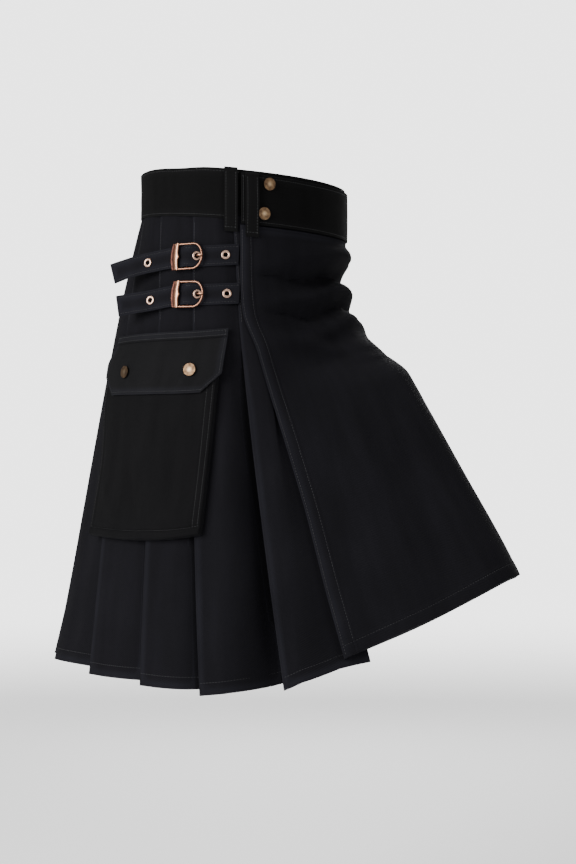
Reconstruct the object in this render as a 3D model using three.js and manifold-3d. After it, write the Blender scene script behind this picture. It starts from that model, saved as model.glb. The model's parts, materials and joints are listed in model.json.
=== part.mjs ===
// A man's utility kilt in heavy black cotton drill, worn and hollow, with one thigh stepping forward.
// Millimetres, +Z up, the front of the kilt faces -Y and the wearer's right hip faces -X.
// The origin is the middle of the waist, halfway up the waistband, where the wearer holds the kilt.
//
// Places on the cloth are given by two numbers. The turn runs round the waist in degrees: 0 at the
// right hip, 90 at the front, 180 at the left hip, 270 or -90 at the back. The fall runs down the
// cloth from 0 at the waistband's lower edge to 1 at the hem. A third number, the stand, is how far
// a point stands out from the hanging surface, in millimetres.
import * as THREE from "three";
import { mergeVertices } from "three/addons/utils/BufferGeometryUtils.js";
import Module from "manifold-3d";

const wasm = await Module();
wasm.setup();

// Driving sizes of the garment
const WAIST_HALF_WIDTH = 163;
const WAIST_HALF_DEPTH = 123;
const BAND_HEIGHT = 60;
const BAND_TILT = 0.079; // the band dips towards the front by this slope
const BACK_DIP = 0.045; // and its upper edge dips a little at the back
const BAND_CLOTH = 2.6; // folded and interfaced band
const SKIRT_CLOTH = 1.0; // one layer of drill
const APRON_CLOTH = 1.2;
const DOUBLE_CLOTH = 2.0; // strap, flap and loop: two layers sewn together
const SEAM_GAP = 0.3; // between pieces that touch
const BAND_SEAM = 0.9; // the skirt hangs this far below the band's edge
const STRAP_WIDTH = 25;
const LOOP_WIDTH = 15;
const SNAP_RADIUS = 7.5;
const EYELET_RADIUS = 5.6;
const EYELET_HOLE = 2.6;

// The hanging surface: one row every 22.5 degrees, from the right hip round the front.
// hemX, hemY and hemZ are where the hem hangs. tuck pulls the upper cloth in against the body,
// push and lift carry the lower cloth out and up over the forward thigh.
const STATION_STEP = 22.5;
const STATIONS = [
  { hemX: -238, hemY: -18, hemZ: -583, tuck: 3, push: 3, lift: 0 }, // right hip
  { hemX: -230, hemY: -114, hemZ: -572, tuck: -12, push: 4, lift: 6 },
  { hemX: -202, hemY: -198, hemZ: -535, tuck: -40, push: 0, lift: 24 },
  { hemX: -163, hemY: -274, hemZ: -500, tuck: -62, push: -6, lift: 48 },
  { hemX: -93, hemY: -346, hemZ: -460, tuck: -72, push: -19, lift: 58 }, // front
  { hemX: 0, hemY: -344, hemZ: -461, tuck: -70, push: -17, lift: 54 },
  { hemX: 88, hemY: -286, hemZ: -481, tuck: -56, push: -6, lift: 42 },
  { hemX: 172, hemY: -200, hemZ: -517, tuck: -38, push: 4, lift: 22 },
  { hemX: 226, hemY: -92, hemZ: -556, tuck: -5, push: 4, lift: 5 }, // left hip
  { hemX: 230, hemY: 20, hemZ: -569, tuck: 3, push: 2, lift: 0 },
  { hemX: 190, hemY: 124, hemZ: -571, tuck: 6, push: 0, lift: 0 },
  { hemX: 106, hemY: 206, hemZ: -567, tuck: 9, push: -3, lift: 0 },
  { hemX: 0, hemY: 237, hemZ: -565, tuck: 12, push: -3, lift: 0 }, // back
  { hemX: -98, hemY: 213, hemZ: -564, tuck: 15, push: -3, lift: 0 },
  { hemX: -176, hemY: 141, hemZ: -568, tuck: 9, push: 0, lift: 0 },
  { hemX: -222, hemY: 60, hemZ: -577, tuck: 5, push: 2, lift: 0 },
];

// Creases across the apron under the waistband, where the hip bends. The fall of each crease line is
// given at the apron's side, halfway, and at the front; depth in millimetres and width in fall.
const CREASE_FRONT_TURN = 92;
const CREASE_REACH = { right: 74, left: 56 }; // degrees from the front to where a crease has faded
const CREASES = [
  { sideFall: 0.03, middleFall: 0.035, frontFall: 0.035, depth: 3, width: 0.02 },
  { sideFall: 0.122, middleFall: 0.162, frontFall: 0.126, depth: 13, width: 0.034 },
  { sideFall: 0.18, middleFall: 0.256, frontFall: 0.228, depth: 11, width: 0.038 },
  { sideFall: 0.25, middleFall: 0.335, frontFall: 0.43, depth: 4, width: 0.04 },
];

// Knife pleats from the apron back to the middle. Their folded edges face back. The folded edge is
// at topTurn, sewnTurn and hemTurn; tuckTop and tuckHem are the hidden depth in degrees; rise and
// sink are how far the edge stands out and the valley under it falls in at the hem; dip is how much
// lower the folded corner hangs.
const PLEATS_RIGHT = [
  { topTurn: 14.9, sewnTurn: 15.4, hemTurn: 22.7, tuckTop: 11, tuckHem: 5, rise: 9, sink: -38, dip: 6, opens: 0.42 },
  { topTurn: -7.5, sewnTurn: -5.7, hemTurn: 0, tuckTop: 13, tuckHem: 6, rise: 9, sink: -9, dip: 8, opens: 0.23 },
  { topTurn: -30.8, sewnTurn: -25, hemTurn: -22, tuckTop: 12, tuckHem: 6, rise: 8, sink: -9, dip: 6, opens: 0.23 },
  { topTurn: -52.5, sewnTurn: -50, hemTurn: -43.5, tuckTop: 11, tuckHem: 6, rise: 8, sink: -10, dip: 9, opens: 0.23 },
  { topTurn: -71.3, sewnTurn: -70, hemTurn: -66, tuckTop: 10, tuckHem: 5.5, rise: 7, sink: -10, dip: 6, opens: 0.23 },
  { topTurn: -88.6, sewnTurn: -88.6, hemTurn: -87.5, tuckTop: 10, tuckHem: 7, rise: 5, sink: -12, dip: 5, opens: 0.23 },
];
const PLEATS_LEFT = [
  { topTurn: -91.4, sewnTurn: -91.4, hemTurn: -92.5, tuckTop: 10, tuckHem: 7, rise: 5, sink: -12, dip: 5, opens: 0.23 },
  { topTurn: -108.7, sewnTurn: -110, hemTurn: -113, tuckTop: 10, tuckHem: 5.5, rise: 8, sink: -10, dip: 6, opens: 0.23 },
  { topTurn: -127.5, sewnTurn: -129, hemTurn: -134, tuckTop: 11, tuckHem: 5.5, rise: 8, sink: -9, dip: 7, opens: 0.23 },
  { topTurn: -149.2, sewnTurn: -151, hemTurn: -155, tuckTop: 12, tuckHem: 6, rise: 9, sink: -10, dip: 6, opens: 0.23 },
  { topTurn: -172.5, sewnTurn: -173, hemTurn: -176, tuckTop: 13, tuckHem: 6, rise: 8, sink: -9, dip: 7, opens: 0.23 },
  { topTurn: -194.9, sewnTurn: -195.4, hemTurn: -199, tuckTop: 11, tuckHem: 5, rise: 8, sink: -22, dip: 5, opens: 0.42 },
];
const PLEAT_LAYERS = { high: 2.4, middle: 0.8, low: -0.8 }; // stand of the three layers where sewn flat
const SEWN_FALL = 0.23; // the pleats are sewn down to here
const CLOTH_TOP = PLEAT_LAYERS.high + SKIRT_CLOTH / 2; // stand of the sewn pleats' outer face

// Edges of the panels, as turns at a few falls
const APRON_RIGHT = [
  { fall: 0, turn: 18.2 },
  { fall: 0.19, turn: 16.8 },
  { fall: 0.29, turn: 22.4 },
  { fall: 0.62, turn: 33 },
  { fall: 0.88, turn: 37.6 },
  { fall: 1, turn: 39.8 },
];
const APRON_LEFT = [
  { fall: 0, turn: 161.8 },
  { fall: 0.2, turn: 162 },
  { fall: 0.34, turn: 158 },
  { fall: 0.66, turn: 150 },
  { fall: 1, turn: 145 },
];
const SKIRT_RIGHT_END = [
  { fall: 0, turn: 32 },
  { fall: 1, turn: 48 },
];
const SKIRT_LEFT_END = [
  { fall: 0, turn: 148 },
  { fall: 1, turn: 138 },
];
const UNDER_APRON_SINK = -6; // how far in the under apron hangs at the hem
const APRON_STAND = 3.7;
const APRON_EDGE_STAND = 4.6; // where it crosses the pleat beside it
const BAND_DROOP = -4.5; // the lapped end of the band droops, and the apron hangs from it
const FRONT_LENGTH = 430; // down the front from the band to the hem

// The waistband is one long strip: from its inner end at the left front, across the front, round
// the back, and across the front again on top of itself to the snapped end at the right.
const BAND_START = 160;
const BAND_END = 18.8 - 360;
const BAND_STEP = 8;
const BAND_STANDS = [
  { turn: BAND_END, stand: 5, droop: BAND_DROOP },
  { turn: -322, stand: 4.8, droop: BAND_DROOP },
  { turn: -305, stand: 3.7, droop: BAND_DROOP },
  { turn: -250, stand: 3.7, droop: BAND_DROOP },
  { turn: -210, stand: 3.9, droop: -0.6 },
  { turn: -196, stand: 4.2, droop: 0 },
  { turn: -176, stand: 2.4, droop: 0 },
  { turn: 10, stand: 2.4, droop: 0 },
  { turn: 19, stand: 0.6, droop: 0 },
  { turn: BAND_START, stand: 0.6, droop: 0 },
];

// The patch pocket and its flap, by turn on the right side, mirrored on the left
const POCKET_RIGHT = [
  { fall: 0.35, turn: 6 },
  { fall: 0.69, turn: 0.2 },
];
const POCKET_LEFT = [
  { fall: 0.35, turn: -53.5 },
  { fall: 0.42, turn: -56 },
  { fall: 0.49, turn: -54.6 },
  { fall: 0.57, turn: -50.8 },
  { fall: 0.72, turn: -51.5 },
];
const POCKET = {
  topFront: 0.345,
  topBack: 0.372,
  bottomFront: 0.68,
  bottomBack: 0.718,
  depth: 8,
  cloth: 1.2,
  base: 4.4,
  baseLow: 8.2,
  belly: 2.5,
};
const FLAP = {
  topFront: 0.2456,
  topBack: 0.278,
  bottomFront: 0.382,
  bottomBack: 0.404,
  front: 10.3,
  back: -55.7,
  frontLow: 7.6,
  backLow: -54.2,
  chamferTurn: 7,
  chamferFall: 0.033,
};
const FLAP_SNAPS = [
  { name: "front", across: 0.2, down: 0.63 },
  { name: "back", across: 0.735, down: 0.645 },
];
const FLAP_RISE = [
  { down: 0, stand: CLOTH_TOP + 1.9 },
  { down: 0.13, stand: CLOTH_TOP + 2.2 },
  { down: 0.3, stand: 9.6 },
  { down: 0.45, stand: 15.2 },
  { down: 1, stand: 16.2 },
];

// The two hip straps, by the place of their buckles. slope is the fall per degree of turn. drop and
// bend are how the free tail sinks and curves down behind the buckle.
const STRAPS = [
  {
    name: "upper",
    turn: -8.9,
    fall: 0.0885,
    slope: -0.00042,
    frontTurn: 16.5,
    tail: -108,
    drop: 0.038,
    bend: 0.00114,
    eyelets: { front: 44, middle: 11.6, back: -56 },
  },
  {
    name: "lower",
    turn: -7.9,
    fall: 0.1705,
    slope: -0.00028,
    frontTurn: 15.7,
    tail: -99,
    drop: 0.17,
    bend: -0.00025,
    eyelets: { front: 44, middle: 11.6, back: -51.5 },
  },
];
// The middle of the strap's cloth over the cloth below, along the strap from the buckle's bar
const STRAP_RISE = [
  { along: -24, stand: 5.8 },
  { along: -8, stand: 5.8 },
  { along: -5.6, stand: 7.9 },
  { along: -3, stand: 10.3 },
  { along: 0, stand: 11 },
  { along: 3.9, stand: 10.5 },
  { along: 5, stand: 9.8 },
  { along: 16.8, stand: 4.8 },
  { along: 24, stand: 4.6 },
];
const BUCKLE = { halfHeight: 16.4, wire: 1.35, plane: 8.7, bar: 1.2, barDrop: 1.9, back: -20.4, roundFrom: 8, round: 12.3 };

const LOOPS = [
  { name: "right_back", turn: 13.5, bandFace: 3.7, clothFace: CLOTH_TOP, droop: 0 },
  { name: "right_front", turn: 24.2, bandFace: 6.4, clothFace: 5.6, droop: BAND_DROOP },
  { name: "left_back", turn: 168, bandFace: 5.4, clothFace: CLOTH_TOP, droop: 0 },
  { name: "left_front", turn: 156.5, bandFace: 5.6, clothFace: 5.6, droop: -0.3 },
  { name: "back_right", turn: -83, bandFace: 3.7, clothFace: CLOTH_TOP, droop: 0 },
  { name: "back_left", turn: -97, bandFace: 3.7, clothFace: CLOTH_TOP, droop: 0 },
];

const degrees = (turn) => (turn * Math.PI) / 180;
const mix = (a, b, share) => a + (b - a) * share;
const clamp01 = (x) => Math.min(1, Math.max(0, x));
const ease = (x) => clamp01(x) ** 2 * (3 - 2 * clamp01(x));
const span = (count) => Array.from({ length: count + 1 }, (_, i) => i / count);

// A value that runs smoothly through the rows of a table, by one of its columns
function through(rows, key, value, at) {
  const last = rows.length - 1;
  if (at <= rows[0][key]) return rows[0][value];
  if (at >= rows[last][key]) return rows[last][value];
  const i = rows.findIndex((row) => row[key] > at) - 1;
  const slope = (a, b) => (rows[b][value] - rows[a][value]) / (rows[b][key] - rows[a][key]);
  const gap = rows[i + 1][key] - rows[i][key];
  const s = (at - rows[i][key]) / gap;
  const leave = slope(Math.max(0, i - 1), i + 1) * gap;
  const arrive = slope(i, Math.min(last, i + 2)) * gap;
  const rise = rows[i + 1][value] - rows[i][value];
  return rows[i][value] + s * (leave + s * (3 * rise - 2 * leave - arrive + s * (leave + arrive - 2 * rise)));
}

// The same in straight lines from row to row
function between(rows, key, value, at) {
  if (at <= rows[0][key]) return rows[0][value];
  const next = rows.findIndex((row) => row[key] > at);
  if (next < 0) return rows.at(-1)[value];
  const [a, b] = [rows[next - 1], rows[next]];
  return mix(a[value], b[value], (at - a[key]) / (b[key] - a[key]));
}

const edgeTurn = (edge, fall) => through(edge, "fall", "turn", fall);

// A column of the station table at any turn, as a smooth closed curve through its rows
function station(column, turn) {
  const place = (((turn / STATION_STEP) % STATIONS.length) + STATIONS.length) % STATIONS.length;
  const row = Math.floor(place);
  const s = place - row;
  const [a, b, c, d] = [-1, 0, 1, 2].map((k) => STATIONS[(row + k + STATIONS.length) % STATIONS.length][column]);
  return b + 0.5 * s * (c - a + s * (2 * a - 5 * b + 4 * c - d + s * (3 * (b - c) + d - a)));
}

// A point of the waist's oval at a height above the origin's level, standing out by some millimetres
function waist(turn, height, stand) {
  const [cos, sin] = [Math.cos(degrees(turn)), Math.sin(degrees(turn))];
  const normal = new THREE.Vector2(-cos / WAIST_HALF_WIDTH, -sin / WAIST_HALF_DEPTH).normalize();
  const x = -WAIST_HALF_WIDTH * cos + stand * normal.x;
  const y = -WAIST_HALF_DEPTH * sin + stand * normal.y;
  const dip = (BACK_DIP * Math.max(0, y) * (height + BAND_HEIGHT / 2)) / BAND_HEIGHT;
  return new THREE.Vector3(x, y, height + BAND_TILT * y - Math.max(0, dip));
}

// A point of the hanging surface: each turn falls on a cubic curve from the waist to the hem
function hang(turn, fall) {
  const top = waist(turn, -BAND_HEIGHT / 2 - BAND_SEAM, 0);
  const hem = new THREE.Vector3(station("hemX", turn), station("hemY", turn), station("hemZ", turn));
  const out = new THREE.Vector3(-Math.cos(degrees(turn)), -Math.sin(degrees(turn)), 0);
  const upper = top.clone().lerp(hem, 1 / 3).addScaledVector(out, station("tuck", turn));
  const lower = top.clone().lerp(hem, 2 / 3).addScaledVector(out, station("push", turn));
  lower.z += station("lift", turn);
  return new THREE.CubicBezierCurve3(top, upper, lower, hem).getPoint(fall);
}

const STEP_TURN = 0.5;
const STEP_FALL = 0.004;

// The hanging surface's frame at a place: point, unit vectors forward and down, outward normal
function frameAt(turn, fall) {
  const ahead = hang(turn + STEP_TURN, fall).sub(hang(turn - STEP_TURN, fall));
  const low = Math.max(0, fall - STEP_FALL);
  const high = Math.min(1, fall + STEP_FALL);
  const down = hang(turn, high).sub(hang(turn, low)).normalize();
  const perDegree = ahead.length() / (2 * STEP_TURN);
  const normal = new THREE.Vector3().crossVectors(down, ahead).normalize();
  return { point: hang(turn, fall), ahead: ahead.normalize(), down, normal, perDegree };
}

// The bend at the hip over the forward thigh: how far the front stands out beyond the plain surface
const HIP_BEND = [
  { fall: 0, out: 0 },
  { fall: 0.08, out: -2 },
  { fall: 0.16, out: -10 },
  { fall: 0.25, out: -9 },
  { fall: 0.33, out: -5 },
  { fall: 0.42, out: 9 },
  { fall: 0.5, out: 10.5 },
  { fall: 0.64, out: 3.5 },
  { fall: 0.8, out: -2 },
  { fall: 1, out: 0 },
];

// How far the hip's bend and its creases move the cloth in or out, in millimetres
function crease(turn, fall) {
  const place = ((turn % 360) + 360) % 360;
  const reach = place < CREASE_FRONT_TURN ? CREASE_REACH.right : CREASE_REACH.left;
  const away = Math.abs(place - CREASE_FRONT_TURN) / reach;
  if (away >= 1) return 0;
  const fade = (1 - away * away) ** 1.5;
  return CREASES.reduce((sum, { sideFall, middleFall, frontFall, depth, width }) => {
    const bend = 4 * (middleFall - (sideFall + frontFall) / 2) * away * (1 - away);
    const line = mix(frontFall, sideFall, away) + bend;
    const x = Math.abs(fall - line) / width;
    return sum - depth * fade * (Math.exp(-x * 1.6) - 0.45 * Math.exp(-((x - 1.6) ** 2) / 0.5));
  }, through(HIP_BEND, "fall", "out", fall) * fade);
}

// A point on the cloth at a stand, with the creases, and dropped below the hanging surface
function onCloth(turn, fall, stand, drop = 0) {
  const { point, normal } = frameAt(turn, fall);
  const wrinkle = ease(fall / 0.03) * crease(turn, fall);
  point.addScaledVector(normal, stand + wrinkle);
  point.z -= drop;
  return point;
}

// A closed solid between an outer and an inner grid of points, rows by columns
function thickSheet(outer, inner) {
  const rows = outer.length;
  const columns = outer[0].length;
  const points = [...outer.flat(), ...inner.flat()];
  const at = (side, row, column) => side * rows * columns + row * columns + column;
  const index = [];
  const quad = (a, b, c, d) => index.push(a, b, c, a, c, d);
  for (let r = 0; r + 1 < rows; r++)
    for (let c = 0; c + 1 < columns; c++) {
      quad(at(0, r, c), at(0, r + 1, c), at(0, r + 1, c + 1), at(0, r, c + 1));
      quad(at(1, r, c), at(1, r, c + 1), at(1, r + 1, c + 1), at(1, r + 1, c));
    }
  for (let c = 0; c + 1 < columns; c++) {
    quad(at(0, 0, c), at(0, 0, c + 1), at(1, 0, c + 1), at(1, 0, c));
    quad(at(0, rows - 1, c + 1), at(0, rows - 1, c), at(1, rows - 1, c), at(1, rows - 1, c + 1));
  }
  for (let r = 0; r + 1 < rows; r++) {
    quad(at(0, r + 1, 0), at(0, r, 0), at(1, r, 0), at(1, r + 1, 0));
    quad(at(0, r, columns - 1), at(0, r + 1, columns - 1), at(1, r + 1, columns - 1), at(1, r, columns - 1));
  }
  return facingOut(points, index);
}

// A geometry from points and triangles, turned so that its faces point out
function facingOut(points, index) {
  const volume = new THREE.Vector3();
  let sum = 0;
  for (let i = 0; i < index.length; i += 3)
    sum += points[index[i]].dot(volume.crossVectors(points[index[i + 1]], points[index[i + 2]]));
  if (sum < 0) for (let i = 0; i < index.length; i += 3) [index[i], index[i + 1]] = [index[i + 1], index[i]];
  const geometry = new THREE.BufferGeometry().setFromPoints(points).setIndex(index);
  geometry.computeVertexNormals();
  return geometry;
}

const kilt = new THREE.Group();
const FINISHES = {
  drill: new THREE.MeshStandardMaterial({ color: 0x17161a, roughness: 0.9, metalness: 0 }),
  band: new THREE.MeshStandardMaterial({ color: 0x101012, roughness: 0.92, metalness: 0 }),
  brass: new THREE.MeshStandardMaterial({ color: 0x9a7b55, roughness: 0.4, metalness: 0.9 }),
  copper: new THREE.MeshStandardMaterial({ color: 0xb07a5c, roughness: 0.32, metalness: 0.95 }),
};

function add(name, geometry, finish, place = null) {
  const mesh = new THREE.Mesh(geometry, FINISHES[finish]);
  mesh.name = name;
  if (place) place.decompose(mesh.position, mesh.quaternion, mesh.scale);
  kilt.add(mesh);
  return mesh;
}

// The pleated skirt: one long zigzag wall from under the apron, round the back, to the other side
function layerStands(pleat, fall) {
  const open = ease((fall - pleat.opens) / (1 - pleat.opens));
  const sunk = clamp01((fall - SEWN_FALL) / (1 - SEWN_FALL)) ** 1.2;
  const high = mix(PLEAT_LAYERS.high, pleat.rise, open);
  return { high, middle: high - mix(1.6, 3, open), low: mix(PLEAT_LAYERS.low, pleat.sink, sunk), dip: pleat.dip * sunk };
}

function pleatCorners(pleat, fall, side) {
  const open = clamp01((fall - SEWN_FALL) / (1 - SEWN_FALL));
  const sewn = mix(pleat.topTurn, pleat.sewnTurn, clamp01(fall / SEWN_FALL));
  const fold = open > 0 ? mix(pleat.sewnTurn, pleat.hemTurn, open) : sewn;
  const under = fold + side * mix(pleat.tuckTop, pleat.tuckHem, open);
  const { high, middle, low, dip } = layerStands(pleat, fall);
  const corners = [
    { turn: under, stand: high, drop: dip * 0.8 },
    { turn: fold, stand: high, drop: dip },
    { turn: fold, stand: middle, drop: dip },
    { turn: under, stand: middle, drop: dip * 0.5 },
    { turn: under, stand: low, drop: 0 },
    { turn: fold, stand: low, drop: 0 },
  ];
  return side > 0 ? corners : corners.reverse();
}

// Points between two corners of a visible panel, bulging a little as hanging cloth does
function panelBetween(from, to, count) {
  return span(count)
    .slice(1, -1)
    .map((share) => ({
      turn: mix(from.turn, to.turn, share),
      stand: mix(from.stand, to.stand, ease(share) * 0.5 + share * 0.5),
      drop: mix(from.drop, to.drop, share),
    }));
}

const END_DROP = 20; // the skirt's front corner hangs below the lifted apron

function skirtPath(fall) {
  const groups = [
    ...PLEATS_RIGHT.map((pleat) => pleatCorners(pleat, fall, 1)),
    ...PLEATS_LEFT.map((pleat) => pleatCorners(pleat, fall, -1)),
  ];
  const low = -3 * fall;
  const rightEdge = edgeTurn(APRON_RIGHT, fall);
  const leftEdge = edgeTurn(APRON_LEFT, fall) - 360;
  const rightEnd = edgeTurn(SKIRT_RIGHT_END, fall);
  const leftEnd = edgeTurn(SKIRT_LEFT_END, fall) - 360;
  const first = groups[0][0];
  const last = groups.at(-1).at(-1);
  const rightTuck = Math.max(rightEdge - 1, first.turn + 1.2);
  const leftTuck = Math.min(leftEdge + 1, last.turn - 1.2);
  const tuckedStand = mix(PLEAT_LAYERS.high, low, ease(fall / 0.6));
  const path = [
    { turn: Math.max(rightEnd, rightTuck + 1.2), stand: low, drop: END_DROP * fall ** 3 },
    { turn: rightTuck, stand: tuckedStand, drop: 0 },
  ];
  groups.forEach((corners, i) => {
    if (i) path.push(...panelBetween(path.at(-1), corners[0], 3));
    path.push(...corners);
  });
  path.push({ turn: leftTuck, stand: tuckedStand, drop: 0 });
  path.push({ turn: Math.min(leftEnd, leftTuck - 1.2), stand: low, drop: END_DROP * 0.5 * fall ** 3 });
  return path;
}

// The two faces of a wall that follows a path at one fall, with square corners at the folds
function wallFaces(path, fall, thickness) {
  const scale = path.map(({ turn }) => frameAt(turn, fall).perDegree);
  const direction = (i) => {
    const run = ((path[i + 1].turn - path[i].turn) * (scale[i] + scale[i + 1])) / 2;
    return new THREE.Vector2(run, path[i + 1].stand - path[i].stand).normalize();
  };
  return [1, -1].map((face) =>
    path.map(({ turn, stand, drop }, i) => {
      const before = direction(Math.max(0, i - 1));
      const after = direction(Math.min(path.length - 2, i));
      const stretch = (face * thickness) / (1 + before.dot(after)) / 2;
      const aside = (before.y + after.y) * stretch;
      const out = -(before.x + after.x) * stretch;
      return onCloth(turn + aside / scale[i], fall, stand + out, drop);
    }),
  );
}

const SKIRT_FALLS = [0, 0.06, 0.13, SEWN_FALL, 0.34, 0.46, 0.58, 0.72, 0.86, 1];

function pleatedSkirt() {
  const rows = SKIRT_FALLS.map((fall) => wallFaces(skirtPath(fall), fall, SKIRT_CLOTH));
  add("pleated_skirt", thickSheet(rows.map((row) => row[0]), rows.map((row) => row[1])), "drill");
}

// A flat panel of one layer between two edges, hanging from a line that topAt gives as a fall
function panel(name, { right, left, falls, columns, thickness, standAt, dropAt, topAt }) {
  const face = (side) =>
    falls.map((fall, row) =>
      span(columns).map((share) => {
        const turn = mix(edgeTurn(right, fall), edgeTurn(left, fall), share);
        const from = row ? fall : topAt(turn);
        return onCloth(turn, from, standAt(share, fall) + (side * thickness) / 2, dropAt(fall));
      }),
    );
  add(name, thickSheet(face(1), face(-1)), "drill");
}

const UPPER_FALLS = span(16).map((share) => 0.43 * share);
const APRON_FALLS = [...UPPER_FALLS, 0.53, 0.64, 0.76, 0.88, 1];
const UNDER_FALLS = [...UPPER_FALLS, 0.53, 0.63, 0.74, 0.85, 0.95];

// The apron stands higher near its side edges, where it crosses the pleats
function apronStand(share) {
  const fromEdge = Math.min(share, 1 - share);
  return mix(APRON_EDGE_STAND, APRON_STAND, ease(fromEdge / 0.18));
}

function aprons() {
  panel("apron", {
    right: APRON_RIGHT,
    left: APRON_LEFT,
    falls: APRON_FALLS,
    columns: 24,
    thickness: APRON_CLOTH,
    standAt: apronStand,
    dropAt: () => 0,
    topAt: (turn) => 0.0012 - through(BAND_STANDS, "turn", "droop", turn - 360) / FRONT_LENGTH,
  });
  const beyond = (edge, degreesOn) => edge.map(({ fall, turn }) => ({ fall, turn: turn + degreesOn }));
  panel("under_apron", {
    right: beyond(SKIRT_RIGHT_END, 0.4),
    left: beyond(SKIRT_LEFT_END, -0.4),
    falls: UNDER_FALLS,
    columns: 18,
    thickness: SKIRT_CLOTH,
    standAt: (share, fall) => UNDER_APRON_SINK * fall,
    dropAt: () => 0,
    topAt: () => 0,
  });
}

function waistband() {
  const count = Math.round((BAND_START - BAND_END) / BAND_STEP);
  const turns = span(count).map((share) => mix(BAND_START, BAND_END, share));
  const face = (side) =>
    [BAND_HEIGHT / 2, 0, -BAND_HEIGHT / 2].map((height) =>
      turns.map((turn) => {
        const stand = through(BAND_STANDS, "turn", "stand", turn);
        const droop = through(BAND_STANDS, "turn", "droop", turn);
        return waist(turn, height + droop, stand + (side * BAND_CLOTH) / 2);
      }),
    );
  add("waistband", thickSheet(face(1), face(-1)), "band");
}

// A ribbon of cloth that follows a path of along and stand values, from one edge to the other
function ribbon(path, edges, thickness, place) {
  const direction = (i) => new THREE.Vector2().subVectors(path[i + 1], path[i]).normalize();
  const face = (side) =>
    path.map((point, i) => {
      const before = direction(Math.max(0, i - 1));
      const after = direction(Math.min(path.length - 2, i));
      const stretch = (side * thickness) / (1 + before.dot(after)) / 2;
      const along = point.x - (before.y + after.y) * stretch;
      const stand = point.y + (before.x + after.x) * stretch;
      return edges.map((across) => place(along, across, stand));
    });
  return thickSheet(face(1), face(-1));
}

// Belt loops rise a little off the band, fold over its top edge, and are sewn down just below it
const LOOP_CLOTH = 1.8;

function beltLoop({ name, turn, bandFace, clothFace, droop }) {
  const half = LOOP_CLOTH / 2;
  const path = [
    [31.5, bandFace - 2.2],
    [31.5, bandFace + 0.3 + half],
    [28, bandFace + 0.6 + half],
    [17, bandFace + 2.3 + half],
    [-2, bandFace + 2.9 + half],
    [-20, bandFace + 2.2 + half],
    [-32, bandFace + 1 + half],
    [-39, clothFace + 1 + half],
    [-45, clothFace + 0.4 + half],
  ].map(([height, stand]) => new THREE.Vector2(-height, stand));
  const place = (along, across, stand) => {
    const below = Math.max(0, along - BAND_HEIGHT / 2 - SEAM_GAP);
    const point = waist(turn, 0, 0);
    const wide = across / frameAt(turn, 0).perDegree;
    if (!below) return waist(turn + wide, droop - along, stand);
    const { down } = frameAt(turn, 0.02);
    const out = Math.hypot(down.x, down.y) * below;
    point.copy(waist(turn + wide, droop - along, stand + out));
    return point;
  };
  add(`belt_loop_${name}`, ribbon(path, [-LOOP_WIDTH / 2, LOOP_WIDTH / 2], LOOP_CLOTH, place), "band");
}

const SIDES = ["right", "left"];
const sideTurn = (side, turn) => (side === "right" ? turn : 180 - turn);

// Places near a spot on the cloth of one hip: along towards the front, across upwards, and standing
// out. The curved place keeps to the cloth; the rigid one keeps to a flat frame at the spot.
function spotOn(side, turn, fall, slope = 0) {
  const at = (t, v) => frameAt(sideTurn(side, t), v);
  const middle = at(turn, fall);
  const length = at(turn, fall + 0.01).point.distanceTo(at(turn, fall - 0.01).point) / 0.02;
  const lean = middle.down.dot(middle.ahead) * (side === "right" ? 1 : -1);
  const curved = (along, across, stand) => {
    const degreesOn = (along + lean * across) / middle.perDegree;
    const { point, normal } = at(turn + degreesOn, fall + slope * degreesOn - across / length);
    return point.addScaledVector(normal, stand);
  };
  const ahead = curved(1, 0, 0).sub(curved(-1, 0, 0)).normalize();
  return { curved, rigid: rigidFrom(middle.point, ahead, middle.normal) };
}

// A rigid frame from a point, a direction along and a direction out
function rigidFrom(point, ahead, out) {
  const up = new THREE.Vector3().crossVectors(out, ahead).normalize();
  if (up.z < 0) up.negate();
  const along = ahead.clone().addScaledVector(out, -ahead.dot(out)).normalize();
  return (x, y, z) => point.clone().addScaledVector(along, x).addScaledVector(up, y).addScaledVector(out, z);
}

function solidFrom(geometry) {
  const merged = mergeVertices(geometry.clone().deleteAttribute("normal"), 1e-4);
  const vertProperties = new Float32Array(merged.attributes.position.array);
  return new wasm.Manifold(new wasm.Mesh({ numProp: 3, vertProperties, triVerts: new Uint32Array(merged.index.array) }));
}

function geometryFrom(solid) {
  const mesh = solid.getMesh();
  const points = Array.from({ length: mesh.numVert }, (_, i) =>
    new THREE.Vector3().fromArray(mesh.vertProperties, i * mesh.numProp),
  );
  return facingOut(points, [...mesh.triVerts]);
}

// A solid turned round an axis that stands out of a frame, from a profile of radius and height
function turned(profile, segments, place) {
  const points = [];
  const rings = profile.map(([radius, height]) => {
    if (radius === 0) return [points.push(place(0, 0, height)) - 1];
    return span(segments)
      .slice(0, segments)
      .map((share) => {
        const angle = share * 2 * Math.PI;
        return points.push(place(radius * Math.cos(angle), radius * Math.sin(angle), height)) - 1;
      });
  });
  const index = [];
  rings.forEach((ring, i) => {
    const next = rings[(i + 1) % rings.length];
    if (ring.length === 1 && next.length === 1) return;
    for (let k = 0; k < segments; k++) {
      const m = (k + 1) % segments;
      if (ring.length > 1) index.push(ring[k], ring[m], next[m % next.length]);
      if (next.length > 1) index.push(ring[k % ring.length], next[m], next[k]);
    }
  });
  return facingOut(points, index);
}

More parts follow.
